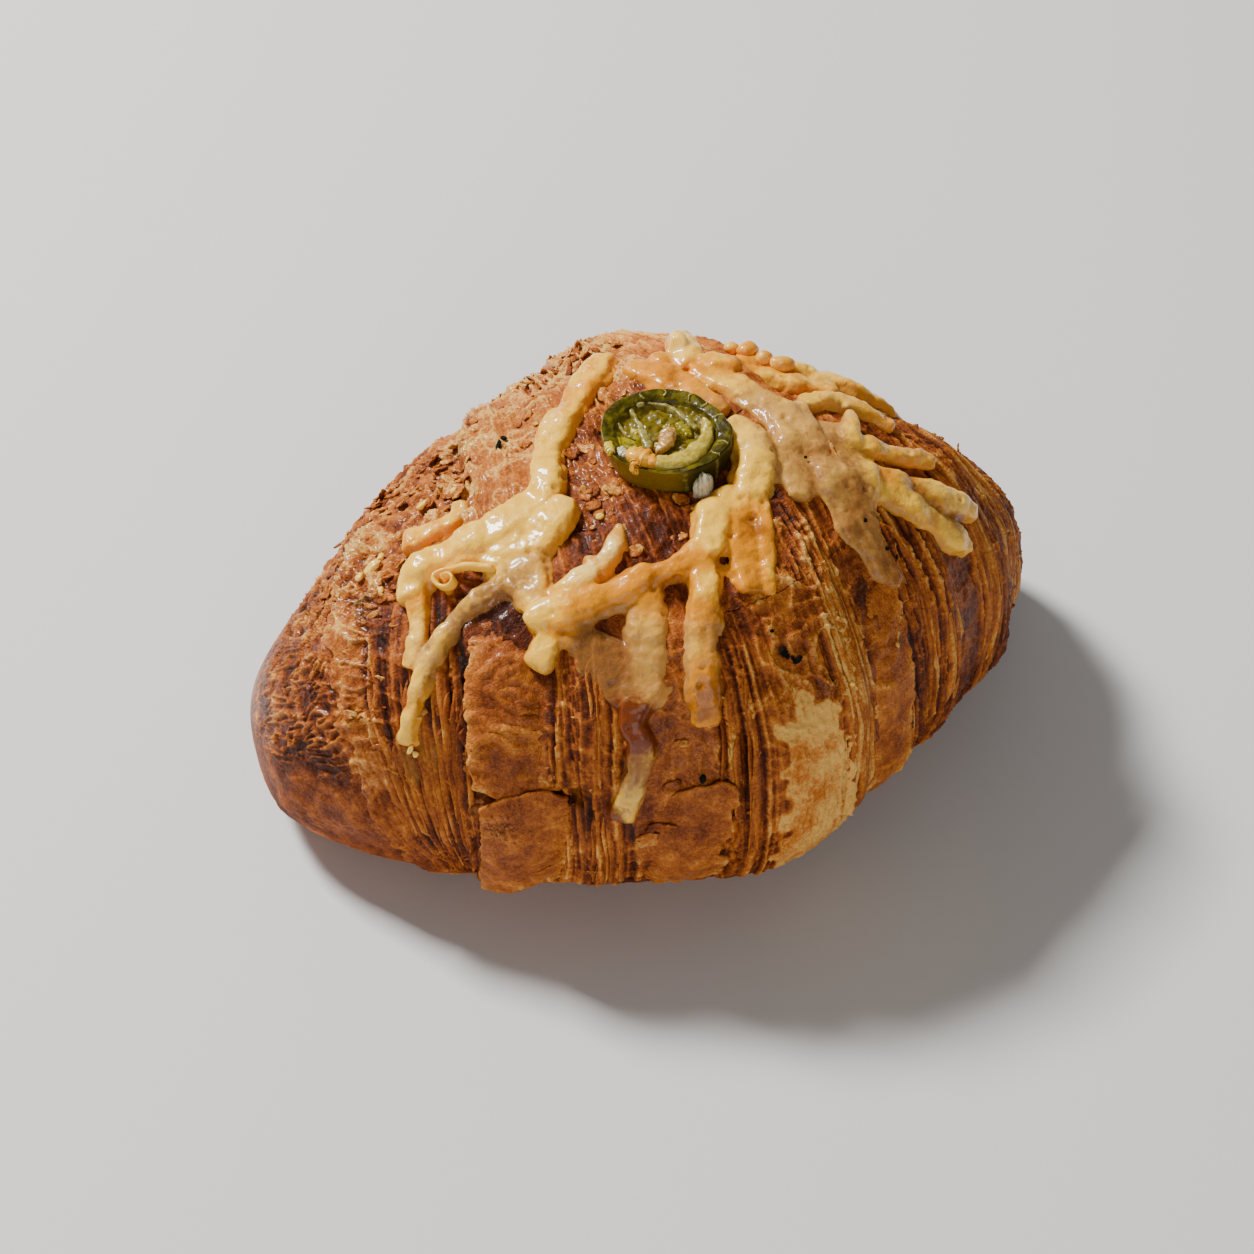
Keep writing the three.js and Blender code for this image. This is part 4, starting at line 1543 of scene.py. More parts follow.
FLAPS = (
    Flap("skin_over_split", ((-0.448, 30), (-0.345, 33), (-0.455, 72.4), (-0.34, 75.4)), (0.2, -1.8, -2.0, 0.9), 0.6,
         0.42, 0.8, (0.5, 1.8), 4, 0.6),
    Flap("left_flap", ((-0.436, 78.8), (-0.318, 77.0), (-0.449, 119), (-0.33, 108)), (0.5, -0.9, 0.8, 0.2), 2.3,
         0.4, 0.9, (0.4, 0.9), 5, 0.4),
    Flap("middle_flap", ((-0.205, 80.5), (-0.088, 78.5), (-0.222, 117), (-0.12, 108)), (-2.0, 1.2, -0.4, -0.2), 1.6,
         0.43, 0.7, (1.2, 1.6), 6, 0.4),
    Flap("right_panel", ((0.16, 54), (0.246, 52), (0.148, 104), (0.224, 104)), (-0.8, 0.8, -1.6, 0.0), 0.9,
         0.36, 0.7, (0.4, 0.5), 7, 0.45),
    Flap("back_flap", ((-0.36, -112), (-0.28, -112), (-0.36, -46), (-0.28, -46)), (1.0, -0.8, -0.6, -0.6), 0.5,
         0.46, 0.8, (0.5, 0.6), 9),
    Flap("back_panel", ((0.09, -114), (0.17, -114), (0.09, -50), (0.17, -50)), (-0.8, 1.1, -0.6, -0.6), 0.5,
         0.46, 0.8, (0.5, 0.6), 10),
)


# Each strand runs through a few (share, angle, width, thickness) stops on the crust
Stops = tuple[tuple[float, float, float, float], ...]
MELT_STRANDS: dict[str, Stops] = {
    "crown_to_left_tip": (
        (0.005, -22, 5, 3), (-0.05, -18.5, 7.5, 3.6), (-0.11, -15.5, 7.5, 4), (-0.175, -10, 7, 3.8),
        (-0.235, -5, 7, 3.8), (-0.27, 0, 7, 3.8), (-0.283, 5, 6.5, 4), (-0.335, 9, 8.5, 4.4),
        (-0.4, 13, 9, 4.6), (-0.45, 14.5, 7.5, 4.6), (-0.505, 16, 7, 4.6), (-0.55, 20.5, 7.5, 4.8),
        (-0.55, 26, 5.5, 4),
    ),
    "side_clump": ((-0.245, 9, 6, 4.2), (-0.295, 14, 8.4, 4.6), (-0.352, 16.5, 9, 4.2), (-0.41, 16, 8, 3.6)),
    "web": ((-0.4, 17, 8, 2.6), (-0.365, 22, 13, 2.8), (-0.345, 28, 9, 2.8), (-0.345, 33, 6, 3)),
    "curl": (
        (-0.483, 24, 2.8, 2.6), (-0.495, 20.5, 3.2, 3.2), (-0.465, 18, 3.6, 3.4), (-0.42, 18.5, 3.6, 3.2),
        (-0.38, 22, 3.4, 2.8),
    ),
    "long_drip": (
        (-0.385, 25.5, 4.4, 3), (-0.423, 27.5, 4.4, 3.2), (-0.457, 31, 4.4, 3.2), (-0.492, 36, 4.2, 3),
        (-0.517, 42, 4.2, 3), (-0.533, 48.5, 4, 2.8), (-0.545, 54.5, 3.9, 2.8), (-0.553, 60, 4.2, 2.8),
        (-0.557, 65, 5, 2.4),
    ),
    "short_drip": ((-0.55, 22.5, 6, 3.6), (-0.54, 33, 4.4, 3.2), (-0.545, 39, 4.2, 3), (-0.555, 44, 4.2, 2.6)),
    "front_band": (
        (-0.357, 35.5, 3.5, 3.4), (-0.333, 34.5, 6.5, 4.6), (-0.275, 33.5, 7.4, 4.8), (-0.216, 32, 5.6, 4.2),
        (-0.16, 29.7, 6, 4.2), (-0.12, 29.2, 5, 4), (-0.08, 28.3, 6, 4), (-0.042, 26.3, 7, 4),
        (-0.015, 22, 8, 3.6), (0, 17.5, 7, 3),
    ),
    "front_stub": ((-0.318, 36, 5.6, 3.4), (-0.33, 40.5, 6, 3.4), (-0.353, 46.5, 6.4, 3.4)),
    "pale_fork": (
        (-0.17, 17, 2.2, 2.2), (-0.188, 21, 4, 2.8), (-0.22, 25.3, 4.6, 3), (-0.257, 27.8, 5.4, 3),
        (-0.31, 31, 5, 3),
    ),
    "pale_spur": ((-0.236, 22.5, 2.4, 2.2), (-0.24, 25, 3.4, 2.6), (-0.255, 28, 4, 2.6)),
    "broad_drip": (
        (-0.16, 31, 7.6, 3), (-0.167, 35.5, 7.8, 2.8), (-0.176, 40.5, 8, 2.8), (-0.187, 47, 9, 2.8),
        (-0.2, 52.6, 8.4, 3.2), (-0.219, 59, 6.2, 4), (-0.213, 64.6, 5.8, 4), (-0.215, 69, 5, 3.4),
        (-0.225, 74, 5, 3.2), (-0.239, 79, 5.6, 3.2), (-0.247, 83, 5.8, 3),
    ),
    "film": ((-0.295, 38, 5, 1.8), (-0.255, 44.5, 9, 1.8), (-0.235, 51, 7, 1.8), (-0.23, 56.5, 4, 1.8)),
    "straight_drip": (
        (-0.062, 28, 6.4, 3.4), (-0.071, 34, 6.2, 3.4), (-0.086, 39, 6.2, 3.4), (-0.105, 46.5, 6.4, 3),
        (-0.113, 52, 6.4, 3.4), (-0.117, 57.6, 6, 3.2), (-0.12, 63.5, 5, 2.6),
    ),
    "pepper_drip": ((0.035, 17, 8, 2.8), (0.02, 23, 7.4, 2.8), (0.004, 31, 6.4, 2.8), (-0.012, 38.5, 5, 2.6)),
    "pepper_runnel": ((0.08, 20, 4.6, 2.4), (0.06, 27, 4, 2.2), (0.033, 35, 3.2, 2), (0.016, 40, 2.6, 1.8)),
    "pepper_lobe": (
        (0.115, 5.5, 5, 3.4), (0.128, 10, 8, 4.4), (0.118, 14.5, 8.4, 4.6), (0.09, 18, 7.6, 4),
        (0.055, 21.5, 7, 3.4),
    ),
    "crescent": (
        (0.03, -16, 5, 2), (0.065, -11.5, 7, 2.2), (0.09, -7, 7, 2.4), (0.11, -3, 6.5, 2.4), (0.13, 3, 5, 2.2),
    ),
    "clear_band": (
        (0.17, -8, 6, 2.6), (0.215, 0, 7, 2.8), (0.237, 7.5, 8, 3), (0.215, 14, 8, 3.2),
        (0.18, 19.5, 8.4, 3.2), (0.145, 26.5, 6.5, 3),
    ),
    "upright": ((0.305, 6, 3, 3), (0.28, 10, 5, 3.4), (0.25, 15, 5.5, 3), (0.22, 20, 5, 2.6)),
    "bridge": ((0.21, 14, 6, 2.2), (0.25, 17, 8, 2.2), (0.29, 19, 9, 2.2)),
    "sheet": (
        (0.33, 14, 9, 2.2), (0.285, 21, 14, 2.4), (0.255, 29, 14, 2.4), (0.235, 36, 10, 2.2),
        (0.235, 43, 8, 2), (0.24, 50, 6, 1.8), (0.25, 55, 4, 1.6),
    ),
    "peak": ((0.385, 13.5, 2.6, 3.4), (0.345, 18, 5, 3.6), (0.305, 23, 7, 3)),
    "thin_runner": (
        (0.33, 22, 5, 2.6), (0.385, 24.5, 4.4, 2.6), (0.43, 27.8, 4, 2.6), (0.47, 31, 3.8, 2.4),
        (0.49, 34, 3, 2),
    ),
    "fork_upper": (
        (0.295, 30, 7, 3), (0.335, 33, 7, 3.2), (0.39, 37, 6.4, 3.4), (0.443, 43, 6.8, 3.4),
        (0.485, 48.5, 5.6, 3.2), (0.502, 51.5, 3.6, 2.6),
    ),
    "fork_lower": (
        (0.3, 33, 6, 3), (0.345, 38.5, 6.4, 3.2), (0.375, 44.5, 6.2, 3.2), (0.408, 50.5, 6.4, 3.4),
        (0.437, 55.5, 6, 3), (0.452, 58.5, 4, 2.6),
    ),
    "crown_peak": (
        (0.085, -13.5, 4, 2.4), (0.135, -12.5, 6.5, 3.2), (0.18, -12, 8, 3.6), (0.215, -15.5, 7, 3.6),
        (0.25, -20.5, 4.5, 2.8),
    ),
    "crown_point": ((0.165, -12.5, 5, 4), (0.19, -14.5, 4.4, 6.4), (0.2, -16.5, 3, 5)),
    "crown_runner": (
        (0.17, -9, 6, 2.8), (0.23, -6.5, 6, 3), (0.29, -4, 6, 3), (0.345, -1, 6, 3), (0.4, 2, 6, 3),
        (0.45, 5, 5, 2.6),
    ),
    "skyline": (
        (0.3, -8, 5, 3), (0.345, -6.5, 6, 3.4), (0.39, -3.5, 5, 3), (0.43, -1.5, 5, 3), (0.47, 2, 5, 3),
        (0.52, 8, 4.6, 2.8), (0.58, 16, 4, 2.4),
    ),
    "left_bean": ((0.322, -9.5, 3.4, 3.6), (0.34, -7.2, 4.4, 4.4), (0.358, -5, 3.4, 3.4)),
    "right_bean": ((0.362, -4, 3.2, 3.2), (0.374, -2.6, 4.2, 4.2), (0.386, -1, 3.2, 3)),
    "pointed_lump": ((0.405, -3, 3, 4.2), (0.425, -2, 4.6, 4.6), (0.45, 0, 4, 3.4)),
    "crumpled": (
        (0.305, 6.5, 4, 3), (0.36, 7.5, 5, 3), (0.41, 10, 5, 3), (0.455, 15, 4.6, 2.8), (0.475, 20, 4, 2.4),
    ),
}
DROP_STRANDS: dict[str, Stops] = {
    "drop": ((-0.585, 7.5, 6.6, 4), (-0.535, 8, 6.4, 4), (-0.485, 5.5, 5, 3), (-0.465, 2, 4, 2.6)),
}
CURL: Stops = (
    (-0.395, 22.4, 1.6, 1.6), (-0.437, 21.2, 1.9, 1.9), (-0.464, 20.9, 1.7, 2), (-0.484, 20.6, 1.5, 2.1),
    (-0.5, 21.2, 1.4, 2.2), (-0.504, 22.7, 1.4, 2.2), (-0.494, 24.4, 1.3, 2.2), (-0.478, 24.8, 1.3, 2.3),
    (-0.468, 23.7, 1.2, 2.4), (-0.476, 22.2, 1.1, 2.5), (-0.488, 22.2, 1, 2.5), (-0.488, 23.1, 1, 2.5),
)
CHEESE_SPOTS: dict[str, tuple[Spot, ...]] = {
    "toast": Spot.rows(
        (-0.545, 27, 3.6, 0.9), (-0.5, 16, 4, 0.5), (-0.275, 33.5, 5, 1.1), (-0.216, 32, 5, 1),
        (-0.16, 29.5, 4.5, 1), (-0.12, 29, 4.5, 1), (-0.08, 28, 4, 0.8), (-0.33, 35, 3, 0.6),
        (-0.54, 37, 1.3, 1.3), (-0.555, 44, 1.5, 1.3), (-0.1, 50, 4, 0.7), (-0.117, 60, 6, 1.1),
        (-0.09, 42, 4, 0.9), (-0.012, 38.5, 5, 1.2), (0.005, 30, 4, 0.9), (0.025, 24, 5, 0.8),
        (0.05, 28, 4, 0.8), (-0.205, 57, 4, 1.4), (-0.3, 38, 3, 0.7), (0.3, 30, 3, 0.8), (0.34, 31, 3, 0.7),
        (0.27, 28, 3, 0.5), (0.07, -11, 5, 1), (0.1, -5, 5, 1.1), (0.12, 1, 4, 1), (-0.13, -13, 4, 0.8),
        (-0.12, -5, 4, 0.6), (-0.2, -8, 4, 0.5), (-0.585, 8, 4.5, 1.2), (-0.5, 8, 4, 0.8), (0.34, -6, 4, 1.2),
        (0.37, -2, 3, 0.9), (0.22, -7, 4, 0.7), (0.27, -3, 4, 0.7), (0.2, 16, 3, 0.7), (0.45, 12, 4, 0.7),
        (0.4, 3, 4, 0.6), (0.4, 36, 5, 0.9), (-0.16, 38, 3, 0.5), (-0.225, 9, 3, 0.4), (-0.56, 60, 2, 0.4),
        (0.5, 33, 4, 0.5), (-0.06, -18, 5, 0.7), (-0.19, -9, 4, 0.5), (-0.27, 1, 4, 0.5), (-0.09, 38, 4, 0.9),
        (-0.11, 54, 5, 0.9),
    ),
    "burn": Spot.rows(
        (-0.221, 59, 4.6, 1.9), (-0.214, 64.5, 4.2, 1.2), (-0.256, 82, 3.6, 1.8), (0.45, 50, 2.8, 1),
        (0.43, 43, 2.6, 1), (0.345, 33, 2.2, 0.6), (0.425, 54, 2.8, 1), (0.15, 2, 1.3, 1.5),
        (0.36, -7.5, 2, 0.6), (-0.12, 66, 2.5, 0.5), (-0.008, 41, 2.5, 0.6),
    ),
    "clear": Spot.rows(
        (-0.19, 49, 7, 0.9), (0.235, 38, 6, 1), (0.236, 48, 7, 1), (0.18, 20, 5, 0.9), (0.16, 23, 5, 0.8),
        (0.26, 13, 4, 0.7), (0.21, 5, 6, 0.7), (-0.24, 46, 7, 1), (-0.47, 33, 4, 0.9), (0.24, 28, 6, 0.9),
        (0.3, 14, 5, 0.6), (0.17, 12, 7, 0.7), (-0.43, 28, 3.4, 0.9), (0.38, 12, 5, 0.4), (-0.36, 24, 5, 0.8),
        (-0.51, 41, 4, 0.8), (-0.225, 73, 5, 0.7), (-0.1, 44, 5, 0.6),
    ),
    "film": Spot.rows(
        (-0.25, 44, 5.5, 1.4), (-0.235, 51, 4, 1), (-0.214, 69, 4.6, 1), (-0.23, 76, 4, 0.45),
        (0.235, 38, 6, 0.35), (0.24, 48, 6, 0.5), (0.245, 54, 4, 0.7), (0.26, 30, 4, 0.4), (0.3, 20, 5, 0.35),
        (-0.38, 26, 4, 0.8), (-0.425, 28, 3.4, 0.6), (-0.46, 31, 4, 0.5), (0.17, 22, 5, 0.6), (0.21, 6, 4, 0.4),
        (-0.53, 46, 3, 0.5), (-0.113, 58, 5, 0.1), (0.225, 32, 6, 0.3), (0.28, 24, 6, 0.3), (0.2, 14, 5, 0.4),
        (0.38, 38.8, 3.4, 1.3), (0.43, 50, 3, 1), (-0.17, 44, 4, 0.3), (-0.13, 52, 4, 0.4), (0.42, 42, 3, 0.6),
        (-0.06, 33, 4, 0.3), (-0.092, 41, 5, 0.45), (-0.495, 36, 4.4, 0.6),
    ),
    "cream": Spot.rows(
        (-0.19, 21, 5, 1), (-0.22, 25, 5, 0.8), (-0.26, 28, 4, 0.6), (-0.54, 36, 6, 0.4), (-0.225, 75, 5, 0.8),
        (0.22, -16, 6, 0.8), (0.118, 12, 5, 0.5), (0.38, 14, 4, 0.7), (-0.25, 10, 5, 0.4), (-0.35, 15, 6, 0.3),
        (0.46, 44, 6, 0.4), (0.43, 50, 5, 0.4), (0.45, 28, 6, 0.7), (0.47, 3, 6, 0.6), (-0.53, 50, 6, 0.3),
    ),
}


@dataclass
class Melt:
    """Strands of cheese that ran together, as one skin. Its lumps are (height, size) pairs in millimetres."""

    crust: Crust
    name: str
    node: str
    slot: str
    strands: dict[str, Stops]
    voxel: float = 0.42
    sides: int = 20
    sink: float = 1.3
    seed: int = 23
    lift: float = 0.0
    lumpy: float = 1.0
    footed: bool = True
    narrow: float = 0.9
    trim: float = 0.3
    flat: float = 0.72
    square: float = 0.58
    foot_width: float = 1.22
    foot_height: float = 0.3
    smoothing: int = 3
    lumps: tuple[Pair, ...] = ((0.42, 4.5), (0.22, 2), (0.1, 0.9))

    def strand(self, name: str, stops: Stops, wide: float = 1.0, tall: float = 1.0) -> Thing:
        """One strand as a closed body, or its wide and thin foot.

        Args:
            name: What it is called.
            stops: Its stops.
            wide: How much wider than its stops say.
            tall: How much higher than they say.

        Returns:
            The strand.
        """
        table = np.array(stops).T
        grain = Grain(self.seed + len(name))

        def way(t: Array) -> tuple[Array, Array]:
            """Its bed on the crust, and the way up from it."""
            share, angle = through(table[0], t), through(table[1], t)
            return self.crust.place(share, angle, self.lift), self.crust.roll.outward(share, angle)

        probe = way(np.linspace(0, 1, 30))[0]
        length = float(np.sum(np.linalg.norm(np.diff(probe, axis=0), axis=1)))

        def section(t: Array) -> tuple[Array, Array, Array]:
            """Its width, height and depth, a little uneven.

            Args:
                t: Shares of its length.

            Returns:
                The three of them.
            """
            walk = xyz(t * length)
            width = self.narrow * through(table[2], t) - self.trim
            width = width * (1 + 0.2 * grain.at(walk, 5) + 0.07 * grain.at(walk + 7, 2))
            width = width * wide * (1 + 0.9 * (wide - 1) * grain.at(walk + 19, 6))
            height = self.flat * tall * through(table[3], t) * (1 + 0.35 * grain.at(walk + 31, 5))
            return width, height, self.sink + 0 * t

        return drawn(name, self.sides, max(14, round(length / 0.5)), way, section, self.square)

    def build(self, finish: Finish) -> None:
        """Models all strands, lets them run together and paints them.

        Args:
            finish: Its finish.
        """
        parts = [self.strand(name, stops) for name, stops in self.strands.items()]
        if self.footed:
            foot = self.foot_width, self.foot_height
            parts += [self.strand(name, stops, *foot) for name, stops in self.strands.items()]
        thing = joined(self.name, parts)
        apply_modifier(thing, "REMESH", mode="VOXEL", voxel_size=self.voxel * MM, use_smooth_shade=True)
        apply_modifier(thing, "SMOOTH", factor=0.5, iterations=self.smoothing)
        points = read(thing) / MM
        grain = Grain(self.seed)
        over = above(self.crust, points)
        lumps = sum(rise * grain.at(points, size) for rise, size in self.lumps)
        pores = np.clip(0.24 - grain.cells(points, 4.2), 0, 1) * 3
        pores = pores + np.clip(0.22 - grain.cells(points + 50, 2.2), 0, 1)
        points = points + read(thing, "normal") * self.lumpy * (lumps - pores)[:, None]
        write(thing, points)
        looks = {name: spotted(self.crust, points, spots) for name, spots in CHEESE_SPOTS.items()}
        paint(thing, rim=1 - ease(over, 0.6, 3.0), **looks)
        hand_over(thing, self.node, finish)


# Membranes and seeds of the pepper: stops of (radius, turn in degrees as seen from the front, foot, top, width)
Membrane = tuple[tuple[float, float, float, float, float], ...]
SICKLE: Membrane = (
    (7.5, 28, 4.8, 6.7, 0.7), (7.4, 14, 4.4, 6.9, 1.8), (7, -6, 4.2, 7, 2.7), (7, -32, 4.2, 7, 3.4),
    (7.6, -58, 4.4, 7.1, 3.8), (8.3, -80, 4.6, 7.2, 3.5), (8.7, -98, 4.8, 7.2, 2.8), (8.6, -112, 4.8, 6.9, 1.6),
)
SEPTA: tuple[Membrane, ...] = (
    ((9.2, 136, 4.6, 6, 1), (9, 120, 4.6, 6.2, 0.8), (8.5, 104, 4.4, 6.2, 0.7), (7.3, 84, 4.4, 6.1, 0.9),
     (6.1, 62, 4.4, 6, 1.2), (5.7, 40, 4.4, 5.9, 1.2), (5.9, 20, 4.4, 5.7, 0.9)),
    ((9, 132, 4.2, 5.9, 0.8), (6.6, 139, 4, 5.5, 0.9), (4.5, 154, 4, 5.4, 1.2), (3.4, 188, 4, 5.6, 1.7),
     (3.7, 212, 4, 5.6, 1.9), (4.6, 228, 4, 5.2, 1.2)),
    ((8.8, 160, 4, 5.8, 0.7), (7.6, 168, 4, 5.4, 0.8), (6.4, 178, 4, 5.2, 0.9), (5.2, 186, 4, 5, 0.7)),
)
LOBES: tuple[Membrane, ...] = (
    ((4.7, 60, 4, 5.2, 1.3), (4.2, 44, 4, 5.5, 2), (4.1, 26, 4, 5.4, 1.8), (4.4, 10, 4, 5, 1.2)),
    ((2.6, 96, 4, 5, 1.2), (2.8, 74, 4, 5.3, 1.8), (3, 56, 4, 5, 1)),
    ((6, 212, 4, 5, 1.6), (6.4, 200, 4, 5.1, 2.2), (6.4, 186, 4, 4.9, 1.4)),
)
PEAK: Membrane = (
    (4.4, 246, 4.2, 5.8, 1.6), (2.6, 262, 4.2, 6.3, 2.6), (0.8, 300, 4.4, 6.9, 2.8), (1.2, 400, 4.6, 7.2, 1.6),
)
SEEDS: tuple[Membrane, ...] = (
    ((10.5, -161, 6.2, 6.9, 1), (10.9, -154, 6, 7.2, 1.7), (11.2, -147, 5.6, 6.8, 1.1)),
    ((4.9, 168, 4, 4.9, 1.2), (5.4, 160, 4, 5.1, 1.8), (5.9, 152, 4, 4.9, 1.2)),
)
FOAM: tuple[Membrane, ...] = (
    ((8.8, -153, 4.6, 6.1, 1.2), (9.2, -146, 4.6, 6.5, 1.9), (9.2, -138, 4.6, 6.1, 1.2)),
    ((11.2, -64, 0.2, 3.9, 1.8), (11.7, -57, 0.2, 5.4, 3.2), (11.4, -49, 0.2, 4.2, 2)),
)
STROKES: tuple[Membrane, ...] = tuple(
    ((9.3, turn, 6.2, 6.85, 0.2), (10.2, turn + slant, 6.3, 7, 0.3), (11.1, turn, 6.2, 6.9, 0.2))
    for turn, slant in ((114, 2), (92, -3), (63, 2), (46, -2), (22, 2), (-18, 2), (-34, -2))
)
SHREDS: tuple[Membrane, ...] = (
    ((7.5, -143, 4.4, 6.5, 1.6), (8.1, -133, 4.6, 7.3, 3.1), (8.4, -121, 4.8, 7.7, 3.8),
     (8.6, -109, 4.8, 7.6, 3.2), (8.6, -99, 4.8, 7.2, 1.8)),
    ((9.2, -122, 5, 7.2, 2.2), (10.6, -121, 5, 6.9, 1.9), (11.4, -119, 4.6, 6.1, 1.3)),
)
# What lies in the slice: each piece, its finish and how uneven it is, in millimetres
PEPPER_FILLING: tuple[tuple[str, tuple[Membrane, ...], PepperPith, float], ...] = (
    ("pepper_pith", (SICKLE,), PepperPith("pith", srgb(158, 132, 22), srgb(208, 184, 76)), 0.2),
    ("pepper_septa", (*SEPTA, *STROKES), PepperPith("septum", srgb(110, 98, 26), srgb(170, 156, 84)), 0.2),
    ("pepper_lobes", LOBES, PepperPith("lobe", srgb(110, 98, 6), srgb(164, 148, 20)), 0.2),
    ("pepper_peak", (PEAK,), PepperPith("peak", srgb(176, 120, 44), srgb(216, 172, 96)), 0.2),
    ("pepper_seeds", SEEDS, PepperPith("seed", srgb(200, 160, 20), srgb(226, 204, 70)), 0.2),
    ("pepper_foam", FOAM, PepperPith("foam", srgb(172, 160, 120), srgb(220, 210, 180)), 0.07),
)


@dataclass
class PepperSlice:
    """The slice of chilli pepper: a dark wall round a sunken bed, with membranes, seeds and a shred of cheese."""

    crust: Crust
    share: float = -0.032
    angle: float = 5.0
    sunk: float = 1.6
    tilt: float = 3.0
    facing: float = -23.3
    unevenness: float = 0.035
    sides: int = 260
    rings: int = 150
    seed: int = 5
    dip_turn: float = -122.0
    dip_depth: float = 0.9
    pocket: Pair = (-6.4, -1.9)
    smears: tuple[float, ...] = (-74.0, -40.0)
    membrane_sides: int = 28
    membrane_rings: int = 44
    membrane_seed: int = 31
    shred_seed: int = 47
    profile: tuple[Pair, ...] = (
        (0.0, 0.4), (4.0, 0.4), (8.6, 0.2), (10.0, 0.5), (10.6, 1.6), (11.0, 3.2), (11.25, 4.9), (11.3, 6.1),
        (11.2, 6.62), (10.9, 6.75), (10.2, 6.75), (9.5, 6.7), (9.0, 6.5), (8.7, 6.1), (8.3, 5.5), (7.4, 5.0),
        (5.0, 4.8), (2.5, 4.9), (0.0, 4.9),
    )

    def frame(self, points: Array) -> Array:
        """Points of the slice's own frame, as seen from the front, moved to where it lies.

        Args:
            points: N by 3 points.

        Returns:
            The points in the row frame.
        """
        foot = self.crust.place(np.array([self.share]), np.array([self.angle]), -self.sunk)[0]
        turn = Matrix.Rotation(math.radians(self.tilt), 3, "X") @ Matrix.Rotation(math.radians(self.facing), 3, "Z")
        return points @ np.array(turn).T + foot

    def outline(self, theta: Array) -> Array:
        """How much wider than a circle the slice is at each turn."""
        return 1 + self.unevenness * (np.cos(2 * theta + 0.6) * 0.7 + np.cos(5 * theta) * 0.35)

    def flesh(self, finish: Finish) -> None:
        """Models and paints the wall and the bed.

        Args:
            finish: Its finish.
        """
        table = np.array(self.profile)
        thing, along, turn = ball("pepper_flesh", self.sides, self.rings)
        r, z = through(table[:, 0], along), through(table[:, 1], along)
        theta, degrees = -np.radians(turn), -turn
        grain = Grain(self.seed)
        rim = r * self.outline(theta)
        points = xyz(rim * np.cos(theta) + 0.15 * (6.5 - z), rim * np.sin(theta), z)
        points = points + 0.22 * xyz(*(grain.at(points + 9 * k, 3) for k in range(3)))
        top = ease(along, 0.4, 0.48)
        bed = (1 - ease(r, 8.2, 8.9)) * ease(along, 0.5, 0.56)
        far = np.abs((degrees - self.dip_turn + 180) % 360 - 180)
        rough = 0.6 * grain.at(points, 2.4) + 0.3 * grain.at(points, 1)
        points[:, 2] += bed * rough - self.dip_depth * top * np.exp(-((far / 38) ** 2))
        points[:, 2] += (top - bed) * (0.12 * grain.at(points, 1.2) - 0.25 * ease(r, 10.6, 9.0))
        spokes = grain.at(xyz(theta * 9))
        edge = np.exp(-(((along - 0.475) / 0.012) ** 2)) * ease(spokes, -0.3, 0.2)
        points[:, 2] += 0.12 * edge
        write(thing, self.frame(points))
        pocket = np.exp(-np.sum((points[:, :2] - self.pocket) ** 2, 1) / 7)
        smear = sum(np.exp(-(((degrees - place) / 5) ** 2)) for place in self.smears)
        smear = 0.7 * smear * (1 - top) * ease(points[:, 2], 0.4, 1.4)
        paint(thing, warm=ease(points[:, 0] + 0.4 * points[:, 1], 3.0, -6.0), cut=ease(along, 0.46, 0.5), bed=bed,
              pocket=bed * (1.2 * pocket + 0.3 * grain.at(points, 2.5)),
              line=edge * ease(np.abs(degrees), 60, 90) + smear)
        hand_over(thing, "pepper_slice", finish)

    def membrane(self, name: str, stops: Membrane, seed: int, rough: float = 0.2) -> Thing:
        """One membrane, seed or shred.

        Args:
            name: What it is called.
            stops: Its stops.
            seed: Which random numbers to take.
            rough: How uneven it is, in millimetres.

        Returns:
            The membrane.
        """
        radius, turn, foot, top, width = np.array(stops).T
        grain = Grain(seed)

        def way(t: Array) -> tuple[Array, Array]:
            """The middle of it, half way up, in the row frame.

            Args:
                t: Shares of its length.

            Returns:
                The points and the ways up from them.
            """
            theta, r = np.radians(through(turn, t)), through(radius, t)
            middle = (through(foot, t) + through(top, t)) / 2
            r = r * self.outline(theta) + min(0.2, 0.3 * width.max()) * grain.at(xyz(7 * t))
            points = self.frame(xyz(r * np.cos(theta), r * np.sin(theta), middle))
            return points, np.tile((0.0, 0.0, 1.0), (len(t), 1))

        def section(t: Array) -> tuple[Array, Array, Array]:
            """Its width, height and depth.

            Args:
                t: Shares of its length.

            Returns:
                The three of them.
            """
            half = (through(top, t) - through(foot, t)) / 2
            uneven = 1 + 0.25 * grain.at(xyz(9 * t, 0, 4))
            return through(width, t) * uneven, half * uneven, half

        thing = drawn(name, self.membrane_sides, self.membrane_rings, way, section)
        points = read(thing) / MM
        rough = min(rough, 0.3 * float(width.max()))
        write(thing, points + rough * read(thing, "normal") * grain.at(points, 0.8)[:, None])
        return thing

    def group(self, name: str, parts: Sequence[Membrane], finish: Finish, rough: float) -> None:
        """Several membranes as one piece."""
        things = [self.membrane(f"{name}_{i}", stops, self.membrane_seed + i, rough) for i, stops in enumerate(parts)]
        hand_over(joined(name, things), "pepper_slice", finish)

    def build(self, cheese: Finish) -> None:
        """Models the slice and all that lies in it.

        Args:
            cheese: The finish of the shred.
        """
        self.flesh(PepperFlesh().material())
        for name, parts, pith, rough in PEPPER_FILLING:
            self.group(name, parts, pith.material(), rough)
        shreds = [self.membrane(f"shred_{i}", stops, self.shred_seed + i) for i, stops in enumerate(SHREDS)]
        shred = joined("toasted_shred", shreds)
        paint(shred, toast=0.62, rim=0.3)
        hand_over(shred, "cheese_shred_in_pepper", cheese)


@dataclass(frozen=True)
class Bit:
    """One small irregular bit: its place on the crust, its lift, its three half sizes and its turn in degrees."""

    share: float
    angle: float
    size: Triple
    turn: float = 0.0
    lift: float = 0.3


